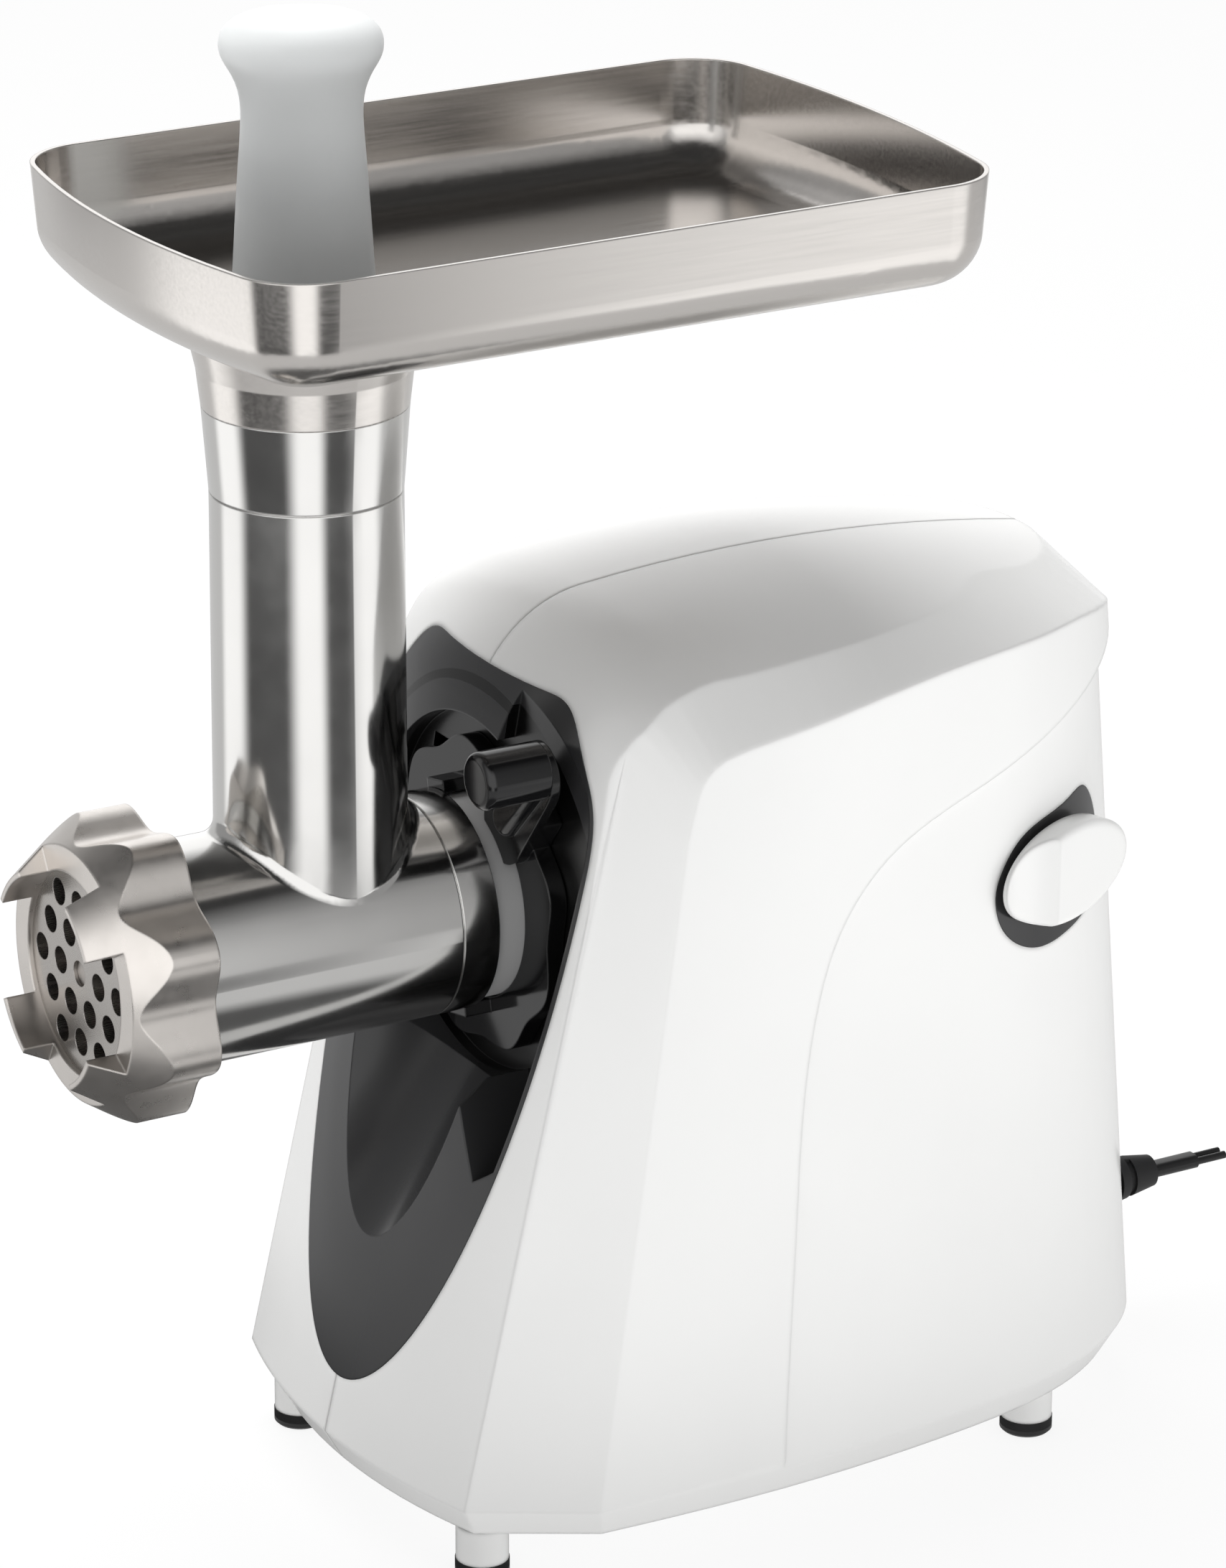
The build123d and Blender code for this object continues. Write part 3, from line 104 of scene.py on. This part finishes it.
@dataclass(frozen=True)
class Finish:
    """One real material and the way its surface was made; lengths in millimetres."""

    name: str
    colour: str
    deep: str
    roughness: tuple[float, float]
    grain: Grain = Grain.MOULDED
    grain_mm: float = 1.2
    bump_mm: float = 0.004
    patch_mm: float = 45.0
    metallic: float = 0.0
    ior: float = 1.5
    edge_mm: float = 0.0
    subsurface: float = 0.0
    axis: str = "Y"
    centre: tuple[float, float, float] = (0.0, 0.0, 0.0)

    def coordinates(self, tree: bpy.types.NodeTree) -> bpy.types.NodeSocket:
        """Place the pattern on the piece.

        Args:
            tree: the material's nodes.

        Returns:
            The mapped Object coordinates.
        """
        stretch = [1.0, 1.0, 1.0]
        if self.grain is Grain.DRAWN:
            stretch["XYZ".index(self.axis)] = DRAW_SCALE
        where = add_node(tree, "ShaderNodeTexCoord")
        offset = tuple(-c * MM * s for c, s in zip(self.centre, stretch))
        return add_node(tree, "ShaderNodeMapping", {"Location": offset, "Scale": tuple(stretch)},
                        {"Vector": where.outputs["Object"]}).outputs["Vector"]

    def make(self) -> bpy.types.Material:
        """Build the material, once per name.

        Returns:
            The material.
        """
        known = bpy.data.materials.get(self.name)
        if known:
            return known
        material = bpy.data.materials.new(self.name)
        material.use_nodes = True
        tree = material.node_tree
        tree.nodes.clear()
        place = self.coordinates(tree)
        if self.grain is Grain.TURNED:
            marks = add_node(tree, "ShaderNodeTexWave", {
                "wave_type": "RINGS", "rings_direction": self.axis,
                "Scale": RING_PITCH / (self.grain_mm * MM), "Distortion": 2.0, "Detail": 2.0,
                "Detail Scale": 1.5}, {"Vector": place}).outputs["Fac"]
        else:
            marks = add_node(tree, "ShaderNodeTexNoise", {
                "Scale": 1.0 / (self.grain_mm * MM), "Detail": 4.0, "Roughness": 0.55},
                {"Vector": place}).outputs["Fac"]
        patches = add_node(tree, "ShaderNodeTexNoise", {
            "Scale": 1.0 / (self.patch_mm * MM), "Detail": 3.0}, {"Vector": place}).outputs["Fac"]
        tint = add_node(tree, "ShaderNodeMix", {
            "data_type": "RGBA", 6: linear(self.deep), 7: linear(self.colour)},
            {0: patches}).outputs[2]
        tint = self.add_painted_shade(tree, tint)
        gloss = add_node(tree, "ShaderNodeMapRange", {
            "From Min": NOISE_RANGE[0], "From Max": NOISE_RANGE[1],
            "To Min": self.roughness[0], "To Max": self.roughness[1]},
            {"Value": marks if self.metallic else patches})
        relief = add_node(tree, "ShaderNodeBump", {
            "Strength": 1.0, "Distance": self.bump_mm * MM}, {"Height": marks})
        if self.edge_mm:
            soft = add_node(tree, "ShaderNodeBevel", {"samples": 6, "Radius": self.edge_mm * MM})
            tree.links.new(soft.outputs["Normal"], relief.inputs["Normal"])
        shader = add_node(tree, "ShaderNodeBsdfPrincipled", {
            "Metallic": self.metallic, "IOR": self.ior, "Subsurface Weight": self.subsurface,
            "Subsurface Radius": (SOAK_MM * MM, SOAK_MM * MM, SOAK_MM * MM)},
            {"Base Color": tint, "Roughness": gloss.outputs["Result"],
             "Normal": relief.outputs["Normal"]})
        add_node(tree, "ShaderNodeOutputMaterial", None, {"Surface": shader.outputs["BSDF"]})
        return material

    def add_painted_shade(self, tree: bpy.types.NodeTree, tint: bpy.types.NodeSocket) -> bpy.types.NodeSocket:
        """Leave the colour as it is; a finish with painted shade overrides this."""
        return tint


@dataclass(frozen=True)
class RecessShadeFinish(Finish):
    """A finish with painted shade: a near-black colour in a round recess; lengths in millimetres.
    """

    # Painted shade: the near-black colour painted into the recess
    recess_shade_colour: str = "#080808"
    reach: float = 62.0
    front_y: float = -48.2

    def add_painted_shade(self, tree: bpy.types.NodeTree, tint: bpy.types.NodeSocket) -> bpy.types.NodeSocket:
        """Paint shade into the recess: near black round the centre, behind its front plane.

        Args:
            tree: the material's nodes.
            tint: the colour outside the recess.

        Returns:
            The colour everywhere.
        """
        where = add_node(tree, "ShaderNodeTexCoord").outputs["Object"]
        flat = add_node(tree, "ShaderNodeVectorMath", {
            "operation": "MULTIPLY", 1: (1.0, 0.0, 1.0)}, {0: where}).outputs[0]
        apart = add_node(tree, "ShaderNodeVectorMath", {
            "operation": "DISTANCE", 1: tuple(c * MM for c in self.centre)},
            {0: flat}).outputs["Value"]
        near = add_node(tree, "ShaderNodeMath", {
            "operation": "LESS_THAN", 1: self.reach * MM}, {0: apart})
        depth = add_node(tree, "ShaderNodeSeparateXYZ", None, {0: where}).outputs["Y"]
        behind = add_node(tree, "ShaderNodeMath", {
            "operation": "GREATER_THAN", 1: self.front_y * MM}, {0: depth})
        inside = add_node(tree, "ShaderNodeMath", {"operation": "MULTIPLY"}, {
            0: near.outputs[0], 1: behind.outputs[0]})
        # Painted shade: near black wherever the recess mask is set
        return add_node(tree, "ShaderNodeMix", {"data_type": "RGBA", 7: linear(self.recess_shade_colour)}, {
            0: inside.outputs[0], 6: tint}).outputs[2]


# A point on the axis of the barrel, in millimetres
AXIS = (0.0, 0.0, 177.6)

# Grain finer than about half a millimetre is lost in the render, so polish lines, grinding rings
# and tool texture are drawn as coarse as they need to show.

# Moulded white ABS from a polished tool: bright, glossy, with a barely uneven sheen
WHITE_ABS = Finish("moulded_white_abs", "#EBEBEA", "#E7E7E6", (0.18, 0.26), edge_mm=2.4)
# Moulded dark ABS: mid-dark grey, glossy, reflects the room softly
DARK_ABS = Finish("moulded_dark_grey_abs", "#2C2C2D", "#282829", (0.2, 0.28), edge_mm=0.7)
# The same dark ABS on the panel, with painted shade: the inside of the lever's recess is painted
# near black
PANEL_ABS = RecessShadeFinish("moulded_dark_panel_abs", "#303031", "#2C2C2D", (0.2, 0.28), edge_mm=0.7,
                         centre=AXIS)
# Black ABS with a mirror-bright skin: highlights are small and hard
BLACK_ABS = Finish("moulded_black_abs", "#121213", "#0E0E0F", (0.06, 0.12), bump_mm=0.002, ior=1.53,
                   edge_mm=0.7)
# Light grey ABS from a fine-etched tool: a dull, even sleeve
GREY_ABS = Finish("etched_light_grey_abs", "#B2B2B2", "#A9A9A9", (0.34, 0.46), grain_mm=0.8,
                  edge_mm=0.5)
# Moulded nitrile rubber: black and dull, with a fine grain
BLACK_RUBBER = Finish("moulded_black_rubber", "#1B1B1C", "#131314", (0.5, 0.66), Grain.BLASTED, 0.7,
                      0.012)
# Soft black PVC: smooth extruded skin with a low sheen
BLACK_PVC = Finish("extruded_black_pvc", "#161617", "#111112", (0.3, 0.42), grain_mm=0.9,
                   bump_mm=0.006)
# Chromed and polished aluminium casting: sharp reflections, faintly wavy from hand buffing
POLISHED_CASTING = Finish("polished_aluminium_casting", "#DCDBD9", "#D2D1CF", (0.11, 0.16),
                          grain_mm=14.0, bump_mm=0.004, metallic=1.0, edge_mm=0.5)
# Buffed aluminium casting: warm grey, soft highlights that break at every edge
BUFFED_ALUMINIUM = Finish("buffed_aluminium_casting", "#E2DDD8", "#D2CDC8", (0.25, 0.35),
                          grain_mm=5.0, bump_mm=0.02, patch_mm=12.0, metallic=1.0, edge_mm=0.9,
                          centre=AXIS)
# Tumbled aluminium: warm grey, soft wide highlights
SATIN_ALUMINIUM = Finish("tumbled_aluminium", "#BDB8B3", "#B1ACA7", (0.3, 0.42), Grain.BLASTED, 0.8,
                         0.006, metallic=1.0, edge_mm=0.8, centre=AXIS)
# Ground tool steel: flat grey with fine grinding rings
GROUND_STEEL = Finish("ground_steel", "#B9B5B1", "#AEAAA6", (0.26, 0.31), Grain.TURNED, 0.5, 0.0004,
                      metallic=1.0, edge_mm=0.4, centre=AXIS)
# Deep-drawn stainless steel, buffed along its length: bright rim, soft streaked walls
DRAWN_STAINLESS = Finish("buffed_stainless_steel", "#DAD6D2", "#D2CECA", (0.15, 0.23), Grain.DRAWN,
                         1.1, 0.0008, metallic=1.0, edge_mm=0.6)
# Natural polypropylene: milky, satin, light goes a little way in
MILKY_PP = Finish("natural_polypropylene", "#DEE0E0", "#D6D8D8", (0.34, 0.44), grain_mm=1.0,
                  edge_mm=0.8, subsurface=0.3)
# Zinc-plated steel: cool bright grey
ZINC_STEEL = Finish("zinc_plated_steel", "#B3B5B8", "#A5A7AB", (0.25, 0.4), Grain.BLASTED, 0.9,
                    0.003, metallic=1.0)
# Hardened gear steel: oily dark grey
GEAR_STEEL = Finish("hobbed_gear_steel", "#7C7C80", "#6E6E72", (0.26, 0.4), Grain.TURNED, 0.8,
                    0.003, metallic=1.0)
# Moulded nylon: ivory and waxy
GEAR_NYLON = Finish("moulded_nylon", "#E6E3D8", "#DEDACE", (0.36, 0.46), subsurface=0.1)
# Pressure die-cast aluminium: pale grey with a mottled cast skin
CAST_ALUMINIUM = Finish("die_cast_aluminium", "#A9AAAD", "#9A9B9E", (0.4, 0.55), Grain.BLASTED, 1.6,
                        0.02, metallic=1.0)
# Stacked electrical sheet: dark grey with fine lines across the stack
LAMINATIONS = Finish("stacked_lamination_steel", "#66666A", "#58585C", (0.4, 0.55), Grain.DRAWN,
                     0.5, 0.01, metallic=1.0, axis="X")
# Enamelled copper wire: reddish, lacquered
COPPER_WIRE = Finish("enamelled_copper", "#B4683F", "#A35B35", (0.25, 0.4), Grain.DRAWN, 0.9, 0.03,
                     metallic=1.0)
# Turned brass: yellow, satin
BRASS = Finish("turned_brass", "#CBAA62", "#BE9C55", (0.25, 0.36), Grain.TURNED, 0.6, 0.002,
               metallic=1.0)
# Pressed carbon: black, dry
CARBON = Finish("pressed_carbon", "#232323", "#1A1A1A", (0.6, 0.75), Grain.BLASTED, 0.6, 0.01)


class Assembly:
    """A group of pieces that is built and dressed together."""

    def dress(self, finish: Finish, *nodes: str) -> None:
        """Give CAD nodes a finish.

        Args:
            finish: the material.
            nodes: the names of the nodes.
        """
        material = finish.make()
        for name in nodes:
            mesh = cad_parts[name].data
            mesh.materials.clear()
            mesh.materials.append(material)
            LOG.info("%s: %s", name, finish.name)

    def add_piece(self, name: str, data: bpy.types.ID, finish: Finish, body: str, slot: str,
                  *nodes: str) -> bpy.types.Object:
        """Put a new piece in the scene.

        Args:
            name: the piece's name.
            data: its mesh or curve.
            finish: its material.
            body: the CAD body that it moves with.
            slot: the record's material slot; not used.
            nodes: the CAD nodes that it stands for.

        Returns:
            The new object.
        """
        piece = bpy.data.objects.new(name, data)
        bpy.context.scene.collection.objects.link(piece)
        data.materials.append(finish.make())
        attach(piece, body)
        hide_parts(*nodes)
        LOG.info("%s: %s", name, finish.name)
        return piece


@dataclass
class MotorHousing(Assembly):
    """White shells on four feet, with the dark front panel."""

    def build(self) -> None:
        """Dress the shells, the panel, the feet and the screws."""
        self.dress(WHITE_ABS, "housing_left", "housing_right", "base_plate", "foot_posts")
        self.dress(PANEL_ABS, "front_panel")
        self.dress(BLACK_RUBBER, "foot_pads")
        self.dress(ZINC_STEEL, "housing_screws", "base_screws")


@dataclass
class ControlKnob(Assembly):
    """White knob on its dark leaf, with the switch behind."""

    def build(self) -> None:
        """Dress the knob, its leaf and the switch."""
        self.dress(WHITE_ABS, "control_knob")
        self.dress(DARK_ABS, "knob_bezel")
        self.dress(BLACK_ABS, "rotary_switch")


@dataclass
class GrindingHead(Assembly):
    """Barrel and neck, ring nut, plate, knife, screw, socket and lock lever."""

    def build(self) -> None:
        """Dress the head's pieces."""
        self.dress(POLISHED_CASTING, "grinder_head")
        self.dress(BUFFED_ALUMINIUM, "ring_nut")
        self.dress(SATIN_ALUMINIUM, "feed_screw")
        self.dress(GROUND_STEEL, "grinding_plate", "cutting_knife")
        self.dress(GREY_ABS, "head_socket")
        self.dress(BLACK_ABS, "lock_ring", "lock_peg")


@dataclass
class FeedTray(Assembly):
    """Drawn tray and the pusher that stands in it."""

    def build(self) -> None:
        """Dress the tray and the pusher."""
        self.dress(DRAWN_STAINLESS, "tray")
        self.dress(MILKY_PP, "pusher")


@dataclass
class DriveTrain(Assembly):
    """Gears, shafts and motor inside the casing."""

    def build(self) -> None:
        """Dress the hidden works."""
        self.dress(GEAR_STEEL, "drive_spindle", "output_gear", "second_pinion", "second_shaft",
                   "first_pinion", "first_shaft", "motor_pinion", "motor_shaft")
        self.dress(GEAR_NYLON, "second_gear", "first_gear", "cooling_fan", "brush_holders")
        self.dress(CAST_ALUMINIUM, "gearbox_case", "gearbox_cover", "motor_front_bell",
                   "motor_rear_bell")
        self.dress(LAMINATIONS, "motor_stator", "armature_core")
        self.dress(COPPER_WIRE, "stator_coils", "armature_windings", "commutator")
        self.dress(BRASS, "spindle_bush", "front_bearing", "rear_bearing")
        self.dress(ZINC_STEEL, "motor_bolts")
        self.dress(BLACK_ABS, "motor_cradle", "cord_clamp")
        self.dress(CARBON, "carbon_brushes")


@dataclass
class MainsLead(Assembly):
    """Strain relief, flat jacket and two cores; lengths in millimetres."""

    start: tuple[float, float, float] = (0.0, 154.35, 42.8)
    end_y: float = 197.05
    width: float = 6.4
    height: float = 4.2
    control_points: int = 5

    def build(self) -> None:
        """Lay the jacket as one open curve and dress the rest."""
        self.dress(BLACK_RUBBER, "strain_relief")
        self.dress(BLACK_PVC, "cord_cores")
        curve = bpy.data.curves.new("flat_jacket", "CURVE")
        curve.dimensions = "3D"
        curve.resolution_u = 12
        curve.bevel_depth = self.height / 2 * MM
        curve.extrude = (self.width - self.height) / 2 * MM
        curve.bevel_resolution = 6
        curve.use_fill_caps = True
        spline = curve.splines.new("NURBS")
        last = self.control_points - 1
        spline.points.add(last)
        for i, point in enumerate(spline.points):
            y = self.start[1] + (self.end_y - self.start[1]) * i / last
            point.co = (self.start[0] * MM, y * MM, self.start[2] * MM, 1.0)
            point.tilt = math.pi / 2
        spline.order_u = 3
        spline.use_endpoint_u = True
        jacket = self.add_piece("flat_jacket", curve, BLACK_PVC, "housing", "black_rubber",
                                "cord_jacket")


@dataclass(frozen=True)
class SoftBox:
    """One soft lamp that lights the object and leaves reflections to the tent; metres and watts."""

    name: str
    place: tuple[float, float, float]
    aim: tuple[float, float, float]
    size: tuple[float, float]
    power: float

    def hang(self) -> None:
        """Put the lamp in the scene, facing its aim."""
        data = bpy.data.lights.new(self.name, "AREA")
        data.shape = "RECTANGLE"
        data.size, data.size_y = self.size
        data.energy = self.power
        box = bpy.data.objects.new(self.name, data)
        bpy.context.scene.collection.objects.link(box)
        box.location = self.place
        outward = Vector(self.place) - Vector(self.aim)
        box.rotation_euler = outward.to_track_quat("Z", "Y").to_euler()
        box.visible_camera = False
        box.visible_glossy = False


class Cloth(Enum):
    """How bright a strip of the reflection tent is."""

    WHITE = 1.0
    GREY = 0.5
    CHARCOAL = 0.27
    BLACK = 0.06


@dataclass
class Studio:
    """Floor, white surround, lamps, reflection tent and camera; lengths in metres."""

    eye: tuple[float, float, float] = (1.4492, -0.85605, 0.8348)
    right: tuple[float, float, float] = (0.4931, 0.8700, 0.0)
    back: tuple[float, float, float] = (0.8146, -0.4617, 0.3511)
    # Focal length and sensor width in millimetres
    lens: float = 148.6
    sensor: float = 36.0
    shift: tuple[float, float] = (0.0579, -0.0081)
    boxes: tuple[SoftBox, ...] = (
        SoftBox("side_box", (1.6, 1.1, 0.3), (0.0, 0.05, 0.12), (1.6, 0.9), 9.0),
        SoftBox("right_floor_panel", (0.85, 0.1, 0.01), (0.85, 0.1, 1.0), (1.4, 1.8), 5.0),
        SoftBox("front_floor_panel", (0.2, -1.0, 0.01), (0.2, -1.0, 1.0), (1.6, 1.2), 6.0),
        SoftBox("left_top_box", (-0.7, -0.2, 1.9), (0.0, 0.0, 0.2), (1.6, 1.6), 38.0),
        SoftBox("front_box", (1.2, -1.7, 0.9), (0.0, 0.0, 0.2), (1.3, 1.3), 1.0))
    # How bright the surround is for the light that it gives; what is seen of it is white
    ambient: float = 0.48
    # How much of the floor glows for the light that it sends up, and for what is seen
    floor_glow: tuple[float, float] = (0.75, 0.88)
    floor_size: float = 12.0
    tent_radius: float = 1.2
    tent_height: float = 2.2
    tent_sides: int = 96
    # The tent's floor lies just above the floor, so that the two don't flicker
    tent_lift: float = 0.002
    # Strips of cloth on the tent's floor: first and last bearing, in degrees from +X towards +Y
    floor_strips: tuple[tuple[float, float, Cloth], ...] = (
        (-180.0, -150.0, Cloth.GREY), (-138.0, -116.0, Cloth.WHITE), (-98.0, -55.0, Cloth.BLACK),
        (-35.0, -16.0, Cloth.WHITE), (-2.0, 14.0, Cloth.BLACK), (42.0, 57.0, Cloth.WHITE),
        (70.0, 180.0, Cloth.GREY))
    # The same for the wall, which only upward reflections meet
    wall_strips: tuple[tuple[float, float, Cloth], ...] = (
        (-180.0, -170.0, Cloth.GREY), (-155.0, -115.0, Cloth.CHARCOAL), (-65.0, 0.0, Cloth.WHITE),
        (28.0, 110.0, Cloth.CHARCOAL), (148.0, 168.0, Cloth.WHITE), (178.0, 180.0, Cloth.GREY))
    # Plain cloth overhead and under the head: brightness in the middle, and next to the strips
    ceiling: tuple[float, float] = (0.02, 0.03)
    under: tuple[float, float] = (0.08, 0.5)
    under_head: tuple[float, float, float] = (0.0, -0.09, 0.0)
    # Where the strips are gone and where they are full: distance on the floor, height on the wall
    floor_fade: tuple[float, float] = (0.5, 0.56)
    wall_fade: tuple[float, float] = (1.9, 1.0)
    # Where the plain cloth changes from its middle level, as parts of the fade's first value
    plain_change: tuple[float, float] = (0.36, 0.52)
    tent_glow: float = 1.35

    def build(self) -> None:
        """Make the stage, the light and the camera."""
        self.surround()
        self.floor()
        for box in self.boxes:
            box.hang()
        self.tent()
        self.camera()

    def surround(self) -> None:
        """White for what is seen, softer for what lights the object."""
        world = bpy.data.worlds.new("studio_surround")
        bpy.context.scene.world = world
        world.use_nodes = True
        tree = world.node_tree
        tree.nodes.clear()
        seen = self.seen_rays(tree)
        level = add_node(tree, "ShaderNodeMapRange", {
            "To Min": self.ambient, "To Max": 1.0}, {"Value": seen})
        light = add_node(tree, "ShaderNodeBackground", {"Color": WHITE}, {
            "Strength": level.outputs["Result"]})
        add_node(tree, "ShaderNodeOutputWorld", None, {"Surface": light.outputs["Background"]})

    def seen_rays(self, tree: bpy.types.NodeTree) -> bpy.types.NodeSocket:
        """Tell camera, mirror and see-through rays from the rest.

        Args:
            tree: the nodes that use the answer.

        Returns:
            1 for those rays, 0 for all others.
        """
        path = add_node(tree, "ShaderNodeLightPath")
        either = add_node(tree, "ShaderNodeMath", {"operation": "MAXIMUM"}, {
            0: path.outputs["Is Camera Ray"], 1: path.outputs["Is Glossy Ray"]})
        return add_node(tree, "ShaderNodeMath", {"operation": "MAXIMUM"}, {
            0: either.outputs[0], 1: path.outputs["Is Transmission Ray"]}).outputs[0]

    def floor(self) -> None:
        """Lay a pale floor that reads white and keeps a faint shadow."""
        shape = bmesh.new()
        bmesh.ops.create_grid(shape, x_segments=1, y_segments=1, size=self.floor_size)
        mesh = bpy.data.meshes.new("floor")
        shape.to_mesh(mesh)
        shape.free()
        floor = bpy.data.objects.new("floor", mesh)
        bpy.context.scene.collection.objects.link(floor)
        material = bpy.data.materials.new("pale_studio_floor")
        material.use_nodes = True
        tree = material.node_tree
        tree.nodes.clear()
        matt = add_node(tree, "ShaderNodeBsdfDiffuse", {"Color": linear("#F4F4F4")})
        glow = add_node(tree, "ShaderNodeEmission", {"Color": WHITE, "Strength": 1.0})
        share = add_node(tree, "ShaderNodeMapRange", {
            "To Min": self.floor_glow[0], "To Max": self.floor_glow[1]},
            {"Value": self.seen_rays(tree)})
        both = add_node(tree, "ShaderNodeMixShader", None, {
            0: share.outputs["Result"], 1: matt.outputs[0], 2: glow.outputs[0]})
        add_node(tree, "ShaderNodeOutputMaterial", None, {"Surface": both.outputs[0]})
        mesh.materials.append(material)

    def cloth(self, name: str, strips: tuple[tuple[float, float, Cloth], ...],
              centre: tuple[float, float, float], fade: tuple[float, float],
              level: tuple[float, float], upward: bool) -> bpy.types.Material:
        """Make a glowing cloth of strips by bearing that fades to a plain middle.

        Args:
            name: the material's name.
            strips: first and last bearing of each strip, and its cloth.
            centre: the point that bearings and distances start from.
            fade: where the strips are gone and where they are full, from the centre.
            level: the brightness at the very middle, and where the strips begin.
            upward: true to fade by height, false to fade by distance from the axis.

        Returns:
            The material.
        """
        material = bpy.data.materials.new(name)
        material.use_nodes = True
        tree = material.node_tree
        tree.nodes.clear()
        where = add_node(tree, "ShaderNodeVectorMath", {"operation": "SUBTRACT", 1: centre}, {
            0: add_node(tree, "ShaderNodeTexCoord").outputs["Object"]}).outputs[0]
        bearing = add_node(tree, "ShaderNodeTexGradient", {"gradient_type": "RADIAL"}, {
            "Vector": where})
        ramp = add_node(tree, "ShaderNodeValToRGB", None, {"Fac": bearing.outputs["Fac"]})
        stops = ramp.color_ramp.elements
        ramp.color_ramp.interpolation = "EASE"
        edges = [(turn, kind.value) for first, last, kind in strips for turn in (first, last)]
        for i, (turn, glow) in enumerate(edges):
            stop = stops[i] if i < 2 else stops.new(1.0)
            stop.position = turn / 360.0 + 0.5
            stop.color = (glow, glow, glow, 1.0)
        along = add_node(tree, "ShaderNodeVectorMath", {
            "operation": "MULTIPLY", 1: (0.0, 0.0, 1.0) if upward else (1.0, 1.0, 0.0)}, {0: where})
        reach = add_node(tree, "ShaderNodeVectorMath", {"operation": "LENGTH"}, {
            0: along.outputs[0]}).outputs["Value"]
        share = add_node(tree, "ShaderNodeMapRange", {
            "From Min": fade[0], "From Max": fade[1]}, {"Value": reach})
        plain = add_node(tree, "ShaderNodeMapRange", {
            "From Min": fade[0] * self.plain_change[0], "From Max": fade[0] * self.plain_change[1],
            "To Min": level[0], "To Max": level[1]}, {"Value": reach})
        mixed = add_node(tree, "ShaderNodeMix", {"data_type": "RGBA"}, {
            0: share.outputs["Result"], 6: plain.outputs["Result"], 7: ramp.outputs["Color"]})
        glow = add_node(tree, "ShaderNodeEmission", {"Strength": self.tent_glow}, {
            "Color": mixed.outputs[2]})
        add_node(tree, "ShaderNodeOutputMaterial", None, {"Surface": glow.outputs[0]})
        return material

    def tent(self) -> None:
        """Stand a round tent of light and dark cloth that only gloss and bright metal see."""
        shape = bmesh.new()
        bmesh.ops.create_cone(shape, cap_ends=True, segments=self.tent_sides,
                              radius1=self.tent_radius, radius2=self.tent_radius,
                              depth=self.tent_height)
        bmesh.ops.translate(shape, vec=(0.0, 0.0, self.tent_height / 2 + self.tent_lift),
                            verts=shape.verts)
        for face in shape.faces:
            on_floor = face.calc_center_median().z < self.tent_height / 4
            face.material_index = 0 if on_floor else 1
        mesh = bpy.data.meshes.new("reflection_tent")
        shape.to_mesh(mesh)
        shape.free()
        tent = bpy.data.objects.new("reflection_tent", mesh)
        bpy.context.scene.collection.objects.link(tent)
        mesh.materials.append(self.cloth("banded_floor_cloth", self.floor_strips, self.under_head,
                                         self.floor_fade, self.under, False))
        mesh.materials.append(self.cloth("banded_wall_cloth", self.wall_strips, (0.0, 0.0, 0.0),
                                         self.wall_fade, self.ceiling, True))
        tent.visible_camera = False
        tent.visible_diffuse = False
        tent.visible_shadow = False
        tent.visible_transmission = False

    def camera(self) -> None:
        """Stand the camera where the photograph was taken from."""
        data = bpy.data.cameras.new("camera")
        data.lens = self.lens
        data.sensor_width = self.sensor
        data.shift_x, data.shift_y = self.shift
        right, back = Vector(self.right).normalized(), Vector(self.back).normalized()
        up = back.cross(right)
        turn = Matrix((right, up, back)).transposed().to_4x4()
        camera = bpy.data.objects.new("camera", data)
        camera.matrix_world = Matrix.Translation(Vector(self.eye)) @ turn
        bpy.context.scene.collection.objects.link(camera)
        bpy.context.scene.camera = camera


def main() -> None:
    """Build and dress every piece, then the studio."""
    logging.basicConfig(level=logging.INFO, format="%(message)s")
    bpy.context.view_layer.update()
    for group in (MotorHousing(), ControlKnob(), GrindingHead(), FeedTray(), DriveTrain(),
                  MainsLead(), Studio()):
        group.build()
    bpy.context.scene.view_settings.view_transform = "Standard"
    bpy.context.view_layer.update()


if __name__ == "__main__":
    main()
